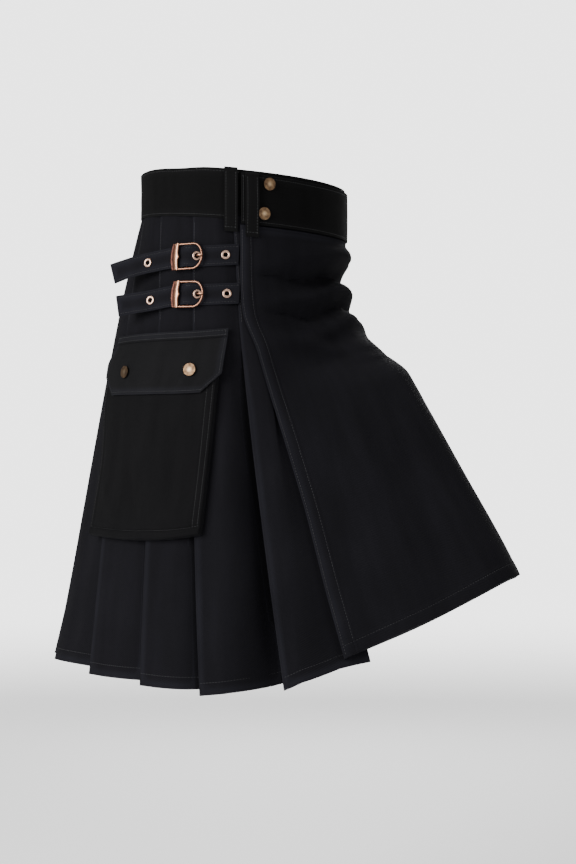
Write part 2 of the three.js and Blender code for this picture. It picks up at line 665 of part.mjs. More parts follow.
// A round bar along a path of points, closed on itself or capped at its ends
function rod(path, radius, segments, isClosed, place) {
  const count = path.length;
  const points = path.flatMap((point, i) => {
    const before = path[isClosed ? (i + count - 1) % count : Math.max(0, i - 1)];
    const after = path[isClosed ? (i + 1) % count : Math.min(count - 1, i + 1)];
    const ahead = new THREE.Vector3().subVectors(after, before).normalize();
    const aside = new THREE.Vector3(0, 0, 1).cross(ahead);
    if (aside.lengthSq() < 1e-6) aside.set(1, 0, 0);
    aside.normalize();
    const other = new THREE.Vector3().crossVectors(ahead, aside);
    return span(segments)
      .slice(0, segments)
      .map((share) => {
        const angle = (share + 0.5 / segments) * 2 * Math.PI;
        const spot = point.clone();
        spot.addScaledVector(aside, radius * Math.cos(angle));
        return spot.addScaledVector(other, radius * Math.sin(angle));
      });
  });
  const index = [];
  const spans = isClosed ? count : count - 1;
  for (let i = 0; i < spans; i++)
    for (let k = 0; k < segments; k++) {
      const [a, b] = [i * segments + k, i * segments + ((k + 1) % segments)];
      const [c, d] = [((i + 1) % count) * segments + k, ((i + 1) % count) * segments + ((k + 1) % segments)];
      index.push(a, b, d, a, d, c);
    }
  if (!isClosed)
    for (let k = 1; k + 1 < segments; k++) {
      const end = (count - 1) * segments;
      index.push(0, k + 1, k, end, end + k, end + k + 1);
    }
  return facingOut(points.map((spot) => place(spot.x, spot.y, spot.z)), index);
}

// A bar of constant section, given as along and stand, running from one across value to the other
function bar(section, from, to, place) {
  const count = section.length;
  const points = [from, to].flatMap((across) => section.map(([along, stand]) => place(along, across, stand)));
  const index = [];
  for (let k = 0; k < count; k++) {
    const m = (k + 1) % count;
    index.push(k, m, count + m, k, count + m, count + k);
  }
  for (let k = 1; k + 1 < count; k++) index.push(0, k + 1, k, count, count + k, count + k + 1);
  return facingOut(points, index);
}

const HOLE_IN_STRAP = 3.6;
const TAIL_FROM = -12; // behind this the stiff strap runs straight on, off the cloth
const EYELET = [
  [EYELET_HOLE, -0.8],
  [3.2, -0.8],
  [3.2, 1.3],
  [EYELET_RADIUS, 1.3],
  [5.2, 2],
  [3.5, 2.4],
  [EYELET_HOLE, 2],
];

function strapPlace(side, strap) {
  const { curved } = spotOn(side, strap.turn, strap.fall, strap.slope);
  const root = curved(TAIL_FROM, 0, 0);
  const ahead = curved(TAIL_FROM + 0.5, 0, 0).sub(curved(TAIL_FROM - 0.5, 0, 0)).normalize();
  const up = curved(TAIL_FROM, 1, 0).sub(root).normalize();
  const out = new THREE.Vector3().crossVectors(ahead, up).normalize();
  if (out.dot(curved(TAIL_FROM, 0, 1).sub(root)) < 0) out.negate();
  return (along, across, stand) => {
    if (along >= TAIL_FROM) return curved(along, across, stand);
    const beyond = TAIL_FROM - along;
    const lean = Math.atan(strap.drop + 2 * strap.bend * beyond) * ease(beyond / 10);
    const slant = 0.2 * ease(1 - (along - strap.tail) / 25);
    const point = root.clone().addScaledVector(ahead, -beyond - (Math.sin(lean) + slant) * across);
    point.addScaledVector(up, Math.cos(lean) * across - strap.drop * beyond - strap.bend * beyond ** 2);
    return point.addScaledVector(out, stand);
  };
}

function strapSet(side, strap) {
  const place = strapPlace(side, strap);
  const { curved, rigid } = spotOn(side, strap.turn, strap.fall, strap.slope);
  const name = `${side}_${strap.name}`;
  const { perDegree } = frameAt(sideTurn(side, strap.turn), strap.fall);
  const front = (strap.frontTurn - strap.turn) * perDegree;
  const standAt = (along) => between(STRAP_RISE, "along", "stand", along);
  const rise = STRAP_RISE.slice(1).map(({ along }) => along);
  const stops = [strap.tail, -92, -78, -65, -48, -36, -28, TAIL_FROM - 4, TAIL_FROM, ...rise, 34, 49, front];
  const path = stops.map((along) => new THREE.Vector2(along, standAt(along)));
  let cloth = solidFrom(ribbon(path, [-STRAP_WIDTH / 2, STRAP_WIDTH / 2], DOUBLE_CLOTH, place));
  Object.entries(strap.eyelets).forEach(([spot, along]) => {
    const stand = standAt(along);
    const middle = place(along, 0, stand);
    const ahead = place(along + 0.5, 0, standAt(along + 0.5)).sub(place(along - 0.5, 0, standAt(along - 0.5)));
    const up = place(along, 1, stand).sub(middle);
    const out = new THREE.Vector3().crossVectors(ahead.normalize(), up).normalize();
    if (out.dot(place(along, 0, stand + 1).sub(middle)) < 0) out.negate();
    const ring = rigidFrom(middle, ahead, out);
    const hole = [
      [0, -3],
      [HOLE_IN_STRAP, -3],
      [HOLE_IN_STRAP, 3],
      [0, 3],
    ];
    cloth = cloth.subtract(solidFrom(turned(hole, 12, ring)));
    add(`eyelet_${name}_${spot}`, turned(EYELET, 12, ring), "copper");
  });
  add(`strap_${name}`, geometryFrom(cloth), "drill");
  buckle(name, curved, rigid);
}

function buckle(name, curved, rigid) {
  const { halfHeight, wire, plane, bar: pin, barDrop, back, roundFrom, round } = BUCKLE;
  const side = halfHeight - wire;
  const arc = span(10).map((share) => {
    const angle = (share - 0.5) * Math.PI;
    return new THREE.Vector3(roundFrom + round * Math.cos(angle), side * Math.sin(angle), plane);
  });
  const corners = [new THREE.Vector3(-14.5, side, plane), new THREE.Vector3(-14.5, -side, plane)];
  const ring = solidFrom(rod([...arc, ...corners], wire, 8, true, rigid));
  const heel = [
    [back, plane - 1.2],
    [back + 0.3, plane + 0.5],
    [-12.6, plane + 1.9],
    [-10.8, plane + 1.2],
    [-10.8, plane - 1.1],
    [back + 1, plane - 1.5],
  ];
  const heelBar = solidFrom(bar(heel, -side - 0.8, side + 0.8, rigid));
  const pinPath = [-side, side].map((across) => new THREE.Vector3(0, across, plane - barDrop));
  const middleBar = solidFrom(rod(pinPath, pin, 8, false, rigid));
  add(`buckle_frame_${name}`, geometryFrom(ring.add(heelBar).add(middleBar)), "copper");

  const wrap = [
    [-13.5, CLOTH_TOP + SEAM_GAP + 0.65],
    [-4, CLOTH_TOP + SEAM_GAP + 0.7],
    [-0.9, 4.8],
    [1.4, 5.2],
    [2.15, plane - barDrop],
    [1.4, 8.4],
    [-0.5, 8.9],
    [-1.9, 7.9],
  ].map(([along, stand]) => new THREE.Vector2(along, stand));
  const place = (along, across, stand) => (along < -2 ? curved : rigid)(along, across, stand);
  add(`buckle_tab_${name}`, ribbon(wrap, [-10.5, 10.5], 1.2, place), "drill");

  const prong = [
    [4.6, 5.2],
    [7.4, 5],
    [10.3, 5.5],
    [13.6, 8.8],
    [16.4, 11.6],
    [22, 11.8],
  ].map(([along, stand]) => new THREE.Vector3(along, 0, stand));
  add(`buckle_prong_${name}`, rod(prong, 1.15, 8, false, rigid), "copper");
}

// The stand of the pocket's edges, which lie on the pleats
const pocketBase = (fall) => mix(POCKET.base, POCKET.baseLow, ease((fall - 0.4) / 0.3));

function pocket(side) {
  const { topFront, topBack, bottomFront, bottomBack, depth, cloth, belly } = POCKET;
  const at = (across, down, stand) => {
    const fall = mix(mix(topFront, topBack, across), mix(bottomFront, bottomBack, across), down);
    const turn = mix(edgeTurn(POCKET_RIGHT, fall), edgeTurn(POCKET_LEFT, fall), across);
    const { point, normal } = frameAt(sideTurn(side, turn), fall);
    return point.addScaledVector(normal, pocketBase(fall) + stand);
  };
  const [wide, tall] = [150, 205];
  const face = (inset) => {
    const aside = inset / wide;
    const columns = [0, 0.006, 0.14, 0.3, 0.5, 0.7, 0.86, 0.994, 1].map((x) => mix(aside, 1 - aside, x));
    const rows = [0, 0.16, 0.36, 0.56, 0.76, 0.92, 0.995, 1].map((x) => x * (1 - inset / tall));
    return rows.map((down, r) =>
      columns.map((across, c) => {
        const isFoot = c === 0 || c === columns.length - 1 || r === rows.length - 1;
        const swell = belly * Math.sin(Math.PI * across) * Math.sin(Math.PI * down);
        return at(across, down, isFoot ? 0 : depth + cloth - inset + swell);
      }),
    );
  };
  add(`pocket_${side}`, thickSheet(face(0), face(cloth)), "drill");
}

// A point of the flap: across from its front edge to its back edge, down from its seam to its hem
function flapPoint(side, across, down, out) {
  const top = mix(FLAP.topFront, FLAP.topBack, across);
  const fall = mix(top, mix(FLAP.bottomFront, FLAP.bottomBack, across), down);
  const low = clamp01(1 - ((1 - down) * (FLAP.bottomFront - FLAP.topFront)) / FLAP.chamferFall);
  const front = mix(FLAP.front, FLAP.frontLow, down) - FLAP.chamferTurn * low;
  const back = mix(FLAP.back, FLAP.backLow, down) + FLAP.chamferTurn * low;
  const { point, normal } = frameAt(sideTurn(side, mix(front, back, across)), fall);
  return point.addScaledVector(normal, between(FLAP_RISE, "down", "stand", down) + out);
}

const FLAP_ROWS = [0, 0.07, 0.13, 0.3, 0.45, 0.6, 0.74, 0.87, 1];

function flap(side) {
  const face = (out) => FLAP_ROWS.map((down) => span(9).map((across) => flapPoint(side, across, down, out)));
  add(`flap_${side}`, thickSheet(face(DOUBLE_CLOTH / 2), face(-DOUBLE_CLOTH / 2)), "drill");
}

const SNAP = [
  [0, 0],
  [SNAP_RADIUS - 0.4, 0],
  [SNAP_RADIUS, 0.7],
  [SNAP_RADIUS - 1.5, 1.8],
  [3.4, 2.3],
  [0, 2.4],
];

function snapAt(name, middle, ahead, out) {
  const place = rigidFrom(middle.addScaledVector(out, SEAM_GAP), ahead, out);
  add(`snap_${name}`, turned(SNAP, 14, place), "brass");
}

function snaps() {
  SIDES.forEach((side) =>
    FLAP_SNAPS.forEach(({ name, across, down }) => {
      const spot = (x, y, out = DOUBLE_CLOTH / 2) => flapPoint(side, across + x, down + y, out);
      const ahead = spot(-0.02, 0).sub(spot(0.02, 0)).normalize();
      const fallLine = spot(0, 0.04).sub(spot(0, -0.04));
      const out = new THREE.Vector3().crossVectors(fallLine, ahead).normalize();
      if (out.dot(spot(0, 0, 2).sub(spot(0, 0))) < 0) out.negate();
      snapAt(`flap_${side}_${name}`, spot(0, 0), ahead, out);
    }),
  );
  const bandSnaps = [
    { name: "band_right_upper", turn: 33, height: 20 },
    { name: "band_right_lower", turn: 30.3, height: -16 },
    { name: "band_left_upper", turn: 147, height: 20 },
    { name: "band_left_lower", turn: 149.7, height: -16 },
  ];
  bandSnaps.forEach(({ name, turn, height }) => {
    const [stand, droop] = ["stand", "droop"].map((key) => through(BAND_STANDS, "turn", key, turn - 360));
    const face = (t, h) => waist(t, h + droop, stand + 0.05 + BAND_CLOTH / 2);
    const ahead = face(turn + 1, height).sub(face(turn - 1, height)).normalize();
    const up = face(turn, height + 1).sub(face(turn, height));
    snapAt(name, face(turn, height), ahead, new THREE.Vector3().crossVectors(ahead, up).normalize());
  });
}

pleatedSkirt();
aprons();
waistband();
LOOPS.forEach(beltLoop);
SIDES.forEach((side) => {
  STRAPS.forEach((strap) => strapSet(side, strap));
  pocket(side);
  flap(side);
});
snaps();

export default kilt;
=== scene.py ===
import json
import math

import bpy
from mathutils import Matrix, Vector

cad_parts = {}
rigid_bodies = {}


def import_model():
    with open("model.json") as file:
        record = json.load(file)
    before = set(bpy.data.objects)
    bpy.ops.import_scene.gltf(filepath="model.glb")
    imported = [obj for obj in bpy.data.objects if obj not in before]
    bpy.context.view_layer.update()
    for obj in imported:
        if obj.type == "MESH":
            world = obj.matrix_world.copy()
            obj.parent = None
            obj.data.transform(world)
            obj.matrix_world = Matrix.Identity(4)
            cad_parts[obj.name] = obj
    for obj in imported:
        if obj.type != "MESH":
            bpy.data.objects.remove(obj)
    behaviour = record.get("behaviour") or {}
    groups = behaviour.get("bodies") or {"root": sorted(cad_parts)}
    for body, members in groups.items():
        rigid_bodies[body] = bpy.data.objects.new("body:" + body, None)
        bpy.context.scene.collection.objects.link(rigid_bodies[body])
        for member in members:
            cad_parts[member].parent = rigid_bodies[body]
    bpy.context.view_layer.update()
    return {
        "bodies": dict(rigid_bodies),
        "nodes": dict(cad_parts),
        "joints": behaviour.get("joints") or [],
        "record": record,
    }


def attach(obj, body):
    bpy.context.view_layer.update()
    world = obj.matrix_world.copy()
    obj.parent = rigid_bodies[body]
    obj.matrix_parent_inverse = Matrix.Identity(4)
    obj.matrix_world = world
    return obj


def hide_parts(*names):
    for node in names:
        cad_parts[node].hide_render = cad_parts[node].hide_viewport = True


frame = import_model()
MM = 0.001

# The camera stands level with the middle of the kilt, off its right hip and a little to the front,
# about 2.6 m away, as a studio camera does for a catalogue picture of a worn garment.
CAMERA_TURN = math.radians(15)  # from straight off the right hip towards the front
CAMERA_DISTANCE = 2600 * MM
LOOKED_AT = Vector((14.2, -53.1, -286)) * MM
FRAME_HEIGHT = 1097.3 * MM  # how much of the scene the tall side of the picture takes in
SENSOR = 36

towards_camera = Vector((-math.cos(CAMERA_TURN), -math.sin(CAMERA_TURN), 0))
camera_data = bpy.data.cameras.new("studio_camera")
camera_data.sensor_width = SENSOR
camera_data.lens = SENSOR * CAMERA_DISTANCE / FRAME_HEIGHT
camera_data.clip_end = 60
camera = bpy.data.objects.new("studio_camera", camera_data)
camera.location = LOOKED_AT + towards_camera * CAMERA_DISTANCE
camera.rotation_euler = (-towards_camera).to_track_quat("-Z", "Y").to_euler()
bpy.context.collection.objects.link(camera)
bpy.context.scene.camera = camera

# The studio is a pale floor, a standing wearer's leg length below the waist, under a pale room.
# Soft boxes light the kilt from behind the camera's left, from its right, and from above.
FLOOR_LEVEL = -1000 * MM
FLOOR_SIZE = 16
FLOOR_FADE = (1.3, 6)  # metres from the kilt over which the floor gives way to the pale room
ROOM_FILL = 0.42
PAPER_WHITE = 3.2
LIGHTS = [
    {"name": "key_box", "place": (-2.2, 1.3, 0.5), "size": 1.5, "power": 120},
    {"name": "front_box", "place": (-1.7, -2.2, 0.3), "size": 1.4, "power": 22},
    {"name": "top_box", "place": (0.2, -0.2, 2.4), "size": 1.8, "power": 60},
    {"name": "far_box", "place": (2.2, 0.4, 0.6), "size": 1.6, "power": 45},
]


def lay_down_selection():
    for chosen in bpy.context.selected_objects:
        chosen.select_set(False)


lay_down_selection()
bpy.ops.mesh.primitive_grid_add(x_subdivisions=8, y_subdivisions=8, size=FLOOR_SIZE)
floor = bpy.context.object
floor.name = "floor"
for corner in floor.data.vertices:
    corner.co.z = FLOOR_LEVEL
floor_paint = bpy.data.materials.new("pale_floor")
floor_paint.use_nodes = True
floor_nodes, floor_links = floor_paint.node_tree.nodes, floor_paint.node_tree.links
floor_shader = floor_nodes["Principled BSDF"]
floor_shader.inputs["Base Color"].default_value = (0.9, 0.9, 0.9, 1)
floor_shader.inputs["Roughness"].default_value = 0.9
floor_place = floor_nodes.new("ShaderNodeTexCoord")
floor_reach = floor_nodes.new("ShaderNodeVectorMath")
floor_reach.operation = "LENGTH"
floor_fade = floor_nodes.new("ShaderNodeMapRange")
floor_fade.interpolation_type = "SMOOTHERSTEP"
floor_fade.inputs["From Min"].default_value, floor_fade.inputs["From Max"].default_value = FLOOR_FADE
floor_fade.inputs["To Min"].default_value, floor_fade.inputs["To Max"].default_value = 1, 0
floor_links.new(floor_place.outputs["Object"], floor_reach.inputs[0])
floor_links.new(floor_reach.outputs["Value"], floor_fade.inputs["Value"])
floor_links.new(floor_fade.outputs["Result"], floor_shader.inputs["Alpha"])
floor.data.materials.append(floor_paint)

room = bpy.data.worlds.new("pale_room")
room.use_nodes = True
room_nodes, room_links = room.node_tree.nodes, room.node_tree.links
soft_fill = room_nodes["Background"]
soft_fill.inputs["Color"].default_value = (1, 1, 1, 1)
soft_fill.inputs["Strength"].default_value = ROOM_FILL
paper = room_nodes.new("ShaderNodeBackground")
paper.inputs["Color"].default_value = (1, 1, 1, 1)
paper.inputs["Strength"].default_value = PAPER_WHITE
seen = room_nodes.new("ShaderNodeLightPath")
choice = room_nodes.new("ShaderNodeMixShader")
room_links.new(seen.outputs["Is Camera Ray"], choice.inputs[0])
room_links.new(soft_fill.outputs[0], choice.inputs[1])
room_links.new(paper.outputs[0], choice.inputs[2])
room_links.new(choice.outputs[0], room_nodes["World Output"].inputs["Surface"])
bpy.context.scene.world = room

for box in LIGHTS:
    light_data = bpy.data.lights.new(box["name"], "AREA")
    light_data.size = box["size"]
    light_data.energy = box["power"]
    light = bpy.data.objects.new(box["name"], light_data)
    light.location = box["place"]
    light.rotation_euler = (LOOKED_AT - light.location).to_track_quat("-Z", "Y").to_euler()
    bpy.context.collection.objects.link(light)


# The skirt is one long length of heavy black cotton drill, knife pleated from the apron round to
# the middle of the back on each side. The pleats are sewn flat for the top quarter and hang free
# below, their folded edges facing back, the last of each side meeting at the centre back.
WAIST_HALF_WIDTH = 163
WAIST_HALF_DEPTH = 123
BAND_HEIGHT = 60
BAND_TILT = 0.079
BACK_DIP = 0.045
BAND_SEAM = 0.9
SKIRT_CLOTH = 1.0
STATION_STEP = 22.5
SEWN_FALL = 0.23
HIGH_LAYER, LOW_LAYER = 2.4, -0.8  # how far the top and bottom layers of a sewn pleat stand out
LAYER_STEP, OPEN_LAYER_STEP = 1.6, 3  # from the top layer down to the one under it, sewn and open
CLOTH_TOP = HIGH_LAYER + SKIRT_CLOTH / 2
END_DROP, TUCK_DROP = 20, 12
# the hang of the cloth every 22.5 degrees from the right hip round the front: hem x, y and z,
# tuck at a third of the fall, push and lift at two thirds
STATIONS = [
    (-238, -18, -583, 3, 3, 0),
    (-230, -114, -572, -12, 4, 6),
    (-202, -198, -535, -40, 0, 24),
    (-163, -274, -500, -62, -6, 48),
    (-93, -346, -460, -72, -19, 58),
    (0, -344, -461, -70, -17, 54),
    (88, -286, -481, -56, -6, 42),
    (172, -200, -517, -38, 4, 22),
    (226, -92, -556, -5, 4, 5),
    (230, 20, -569, 3, 2, 0),
    (190, 124, -571, 6, 0, 0),
    (106, 206, -567, 9, -3, 0),
    (0, 237, -565, 11, -6, 0),
    (-98, 213, -564, 14, -8, 0),
    (-176, 141, -568, 8, -5, 0),
    (-222, 60, -577, 5, 1, 0),
]
HEM_X, HEM_Y, HEM_Z, TUCK, PUSH, LIFT = range(6)
# hip creases: fall at the side, halfway and at the front, depth in millimetres, width in fall
CREASE_FRONT_TURN = 92
CREASE_REACH_RIGHT, CREASE_REACH_LEFT = 74, 56
CREASE_ROUND = 0.2  # how far each crease rounds its middle, as a share of its reach
CREASES = [
    (0.012, 0.012, 0.012, 5, 0.02),
    (0.122, 0.132, 0.117, 20, 0.033),
    (0.185, 0.232, 0.208, 13, 0.034),
    (0.25, 0.335, 0.43, 4, 0.04),
]
# the bend over the forward thigh: fall and how far the front stands out beyond the plain surface
HIP_BEND = [(0, 0), (0.08, -3), (0.16, -14), (0.25, -12), (0.33, -10)]
HIP_BEND += [(0.42, 7), (0.5, 13), (0.6, 9.5), (0.8, 1), (1, 0)]
# pleats: top, sewn and hem turn of the folded edge, hidden depth at top and hem in degrees,
# rise, sink and dip at the hem in millimetres, and the fall where the fold starts to open
PLEATS_RIGHT = [
    (14.9, 15.4, 22.7, 11, 5, 9, -38, 11, 0.42),
    (-7.5, -5.7, 0, 13, 6, 9, -9, 8, 0.23),
    (-30.8, -25, -22, 12, 6, 8, -9, 6, 0.23),
    (-52.5, -50, -43.5, 11, 6, 8, -10, 9, 0.23),
    (-71.3, -70, -66, 10, 5.5, 7, -10, 6, 0.23),
    (-88.6, -88.6, -87.5, 10, 7, 5, -12, 5, 0.23),
]
PLEATS_LEFT = [
    (-91.4, -91.4, -92.5, 10, 7, 5, -12, 5, 0.23),
    (-108.7, -110, -113, 10, 5.5, 8, -10, 6, 0.23),
    (-127.5, -129, -134, 11, 5.5, 8, -9, 7, 0.23),
    (-149.2, -151, -155, 12, 6, 9, -10, 6, 0.23),
    (-172.5, -173, -176, 13, 6, 8, -9, 7, 0.23),
    (-194.9, -195.4, -199, 11, 5, 8, -22, 9, 0.42),
]
APRON_RIGHT = [(0, 18.2), (0.19, 16.8), (0.29, 22.4), (0.62, 33), (0.88, 37.6), (1, 39.8)]
APRON_LEFT = [(0, 161.8), (0.2, 162), (0.34, 158), (0.66, 150), (1, 145)]
SKIRT_RIGHT_END = [(0, 32), (1, 48)]
SKIRT_LEFT_END = [(0, 148), (1, 138)]
PANEL_POINTS = 11
LAYER_POINTS = 4
SKIRT_ROWS = 80
PANEL_BULGE = 3.5
FOLD_ROUND = 0.34  # degrees of turn that a pressed fold takes up
FOLD_ARC = [(1, 0), (0.3, 0.12), (0, 0.5), (0.3, 0.88), (1, 1)]
TUCK_ARC = [(0, 0), (0.8, 0.2), (1, 0.5), (0.8, 0.8), (0, 1)]
MM_PER_TURN, MM_PER_FALL = 3.4, 560
# soft folds of the hanging pleats: turn and fall where each starts and ends, height, width in mm
SKIRT_MARKS = [
    (13, 0.3, 17, 0.98, -2.2, 11),
    (9, 0.52, 12, 1.05, 2.6, 13),
    (-9, 0.42, -7, 1.05, 2.4, 15),
    (-15, 0.62, -15, 1.02, -2.2, 12),
    (-32, 0.36, -29, 1.04, 2.2, 15),
    (-38, 0.7, -37, 1.02, -2.0, 12),
    (-54, 0.3, -50, 1.02, 2.4, 14),
    (-60, 0.55, -57, 1.04, -2.2, 12),
    (-77, 0.33, -74, 1.03, 2.2, 15),
    (-81, 0.62, -79, 1.02, -1.8, 11),
    (-97, 0.35, -99, 1.03, 2.0, 14),
    (-103, 0.6, -105, 1.02, -2.0, 11),
    (-119, 0.32, -123, 1.03, 2.4, 15),
    (-124, 0.62, -128, 1.02, -1.8, 12),
    (-139, 0.35, -144, 1.03, 2.2, 14),
    (-146, 0.66, -150, 1.02, -2.2, 12),
    (-162, 0.36, -166, 1.03, 2.4, 15),
    (-168, 0.68, -171, 1.02, -1.8, 11),
    (-184, 0.4, -188, 1.03, 2.4, 14),
    (-190, 0.62, -194, 1.02, -2.0, 12),
    (-47, 0.03, -62, 0.09, -0.9, 8),
    (-78, 0.05, -66, 0.13, -0.8, 8),
    (-118, 0.04, -104, 0.1, -0.8, 8),
]


def mix(a, b, share):
    return a + (b - a) * share


def clamp(x):
    return min(1.0, max(0.0, x))


def ease(x):
    x = clamp(x)
    return x * x * (3 - 2 * x)


def swell_at(place, middle, width):
    """1 at a middle, falling off softly to both sides over a width."""
    return math.exp(-(((place - middle) / width) ** 2))


def through(rows, at):
    """A value that runs smoothly through the rows of a table of places and values."""
    last = len(rows) - 1
    if at <= rows[0][0]:
        return rows[0][1]
    if at >= rows[last][0]:
        return rows[last][1]
    i = next(k for k, row in enumerate(rows) if row[0] > at) - 1

    def slope(a, b):
        return (rows[b][1] - rows[a][1]) / (rows[b][0] - rows[a][0])

    gap = rows[i + 1][0] - rows[i][0]
    s = (at - rows[i][0]) / gap
    leave = slope(max(0, i - 1), i + 1) * gap
    arrive = slope(i, min(last, i + 2)) * gap
    rise = rows[i + 1][1] - rows[i][1]
    return rows[i][1] + s * (leave + s * (3 * rise - 2 * leave - arrive + s * (leave + arrive - 2 * rise)))


def between(rows, at):
    """The same in straight lines from row to row."""
    if at <= rows[0][0]:
        return rows[0][1]
    for (a, low), (b, high) in zip(rows, rows[1:]):
        if at < b:
            return mix(low, high, (at - a) / (b - a))
    return rows[-1][1]


def station(turn, *columns):
    """Columns of the table of stations at any turn, on a smooth curve through its rows."""
    place = (turn / STATION_STEP) % len(STATIONS)
    row = int(place)
    s = place - row
    a, b, c, d = (STATIONS[(row + k) % len(STATIONS)] for k in (-1, 0, 1, 2))

    def value(k):
        bent = 2 * a[k] - 5 * b[k] + 4 * c[k] - d[k] + s * (3 * (b[k] - c[k]) + d[k] - a[k])
        return b[k] + 0.5 * s * (c[k] - a[k] + s * bent)

    return [value(k) for k in columns]


def waist(turn, height, stand):
    """A point of the waist's oval, at a height above its middle and standing out by some millimetres."""
    angle = math.radians(turn)
    normal = Vector((-math.cos(angle) / WAIST_HALF_WIDTH, -math.sin(angle) / WAIST_HALF_DEPTH)).normalized()
    x = -WAIST_HALF_WIDTH * math.cos(angle) + stand * normal.x
    y = -WAIST_HALF_DEPTH * math.sin(angle) + stand * normal.y
    dip = BACK_DIP * max(0, y) * (height + BAND_HEIGHT / 2) / BAND_HEIGHT
    return Vector((x, y, height + BAND_TILT * y - max(0, dip)))


hang_lines = {}


def hang_line(turn):
    """The four control points of the curve that the cloth falls along at one turn round the waist."""
    key = round(turn, 4)
    if key not in hang_lines:
        hem_x, hem_y, hem_z, tuck, push, lift = station(turn, HEM_X, HEM_Y, HEM_Z, TUCK, PUSH, LIFT)
        top = waist(turn, -BAND_HEIGHT / 2 - BAND_SEAM, 0)
        hem = Vector((hem_x, hem_y, hem_z))
        out = Vector((-math.cos(math.radians(turn)), -math.sin(math.radians(turn)), 0))
        upper = top.lerp(hem, 1 / 3) + out * tuck
        lower = top.lerp(hem, 2 / 3) + out * push + Vector((0, 0, lift))
        hang_lines[key] = (top, upper, lower, hem)
    return hang_lines[key]


def hang(turn, fall):
    top, upper, lower, hem = hang_line(turn)
    up = 1 - fall
    return top * up**3 + upper * (3 * up * up * fall) + lower * (3 * up * fall * fall) + hem * fall**3


def cloth_frame(turn, fall):
    """The hanging surface at a place: its point, the way forward, its outward normal, and mm per degree."""
    ahead = hang(turn + 0.5, fall) - hang(turn - 0.5, fall)
    down = hang(turn, min(1, fall + 0.004)) - hang(turn, max(0, fall - 0.004))
    normal = down.cross(ahead).normalized()
    return hang(turn, fall), ahead.normalized(), down.normalized(), normal, ahead.length


def crease(turn, fall):
    """How far the bend of the hip and its creases move the cloth, in millimetres."""
    place = turn % 360
    reach = CREASE_REACH_RIGHT if place < CREASE_FRONT_TURN else CREASE_REACH_LEFT
    away = abs(place - CREASE_FRONT_TURN) / reach
    if away >= 1:
        return 0
    fade = (1 - away * away) ** 1.5
    along = math.hypot(away, CREASE_ROUND) - CREASE_ROUND
    moved = through(HIP_BEND, fall) * fade
    for side_fall, middle_fall, front_fall, depth, width in CREASES:
        bend = 4 * (middle_fall - (side_fall + front_fall) / 2) * along * (1 - along)
        x = abs(fall - mix(front_fall, side_fall, along) - bend) / width
        trough = math.exp(-1.6 * math.sqrt(x * x + 0.02))
        moved -= depth * fade**1.5 * (trough - 0.45 * math.exp(-((x - 1.6) ** 2) / 0.5))
    return moved


def on_cloth(turn, fall, stand, drop=0.0):
    point, _, _, normal, _ = cloth_frame(turn, fall)
    point = point + normal * (stand + ease(fall / 0.03) * crease(turn, fall))
    point.z -= drop
    return point


def soft_marks(marks, turn, fall):
    """The height, in millimetres, of soft creases listed one by one. A mark runs from one turn and fall to
    another; its height is below zero for a trough, and its width is in millimetres."""
    total = 0.0
    for turn0, fall0, turn1, fall1, height, width in marks:
        run_x, run_y = (turn1 - turn0) * MM_PER_TURN, (fall1 - fall0) * MM_PER_FALL
        off_x, off_y = (turn - turn0) * MM_PER_TURN, (fall - fall0) * MM_PER_FALL
        length = math.hypot(run_x, run_y)
        share = (off_x * run_x + off_y * run_y) / length**2
        if -0.25 < share < 1.25:
            bow = 0.03 * length * math.sin(math.pi * clamp(share))
            aside = (off_x * run_y - off_y * run_x) / length - bow
            taper = ease((share + 0.25) / 0.45) * ease((1.25 - share) / 0.45)
            total += height * taper * swell_at(aside, 0, width)
    return total


def run_lengths(points):
    """How far along their run each of some points lies."""
    lengths = [0.0]
    for a, b in zip(points, points[1:]):
        lengths.append(lengths[-1] + math.dist(a, b))
    return lengths


def lay_cloth(name, grid, wall, rim_marks=None):
    """A grid primitive with its points laid on the garment, row by row, and given the cloth's thickness.
    Its rim attribute holds each point's distance from the nearest edge, or, if given, the rim marks:
    distances from worn places, and a low value for cloth painted in shade."""
    rows, columns = len(grid), len(grid[0])
    lay_down_selection()
    bpy.ops.mesh.primitive_grid_add(x_subdivisions=columns - 1, y_subdivisions=rows - 1, size=1)
    piece = bpy.context.object
    piece.name = name
    across = run_lengths(grid[rows // 2])
    along = run_lengths([line[columns // 2] for line in grid])
    rim = piece.data.attributes.new("rim", "FLOAT", "POINT")
    spots = []
    for vertex in piece.data.vertices:
        column = round((vertex.co.x + 0.5) * (columns - 1))
        row = round((0.5 - vertex.co.y) * (rows - 1))
        spots.append((column, row))
        vertex.co = grid[row][column] * MM
        distance = min(across[column], across[-1] - across[column], along[row], along[-1] - along[row])
        if rim_marks:
            distance = rim_marks[row][column]
        rim.data[vertex.index].value = distance
    layer = piece.data.uv_layers.active
    for loop in piece.data.loops:
        column, row = spots[loop.vertex_index]
        layer.data[loop.index].uv = (across[column] * MM, -along[row] * MM)
    outward = sum((f.center - Vector((0, 0, f.center.z))).dot(f.normal) * f.area for f in piece.data.polygons)
    if outward < 0:
        piece.data.flip_normals()
    thick = piece.modifiers.new("cloth_wall", "SOLIDIFY")
    thick.thickness = wall * MM
    thick.offset = 0
    bpy.ops.object.modifier_apply(modifier=thick.name)
    bpy.ops.object.shade_smooth_by_angle(angle=math.radians(50))
    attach(piece, "root")
    return piece


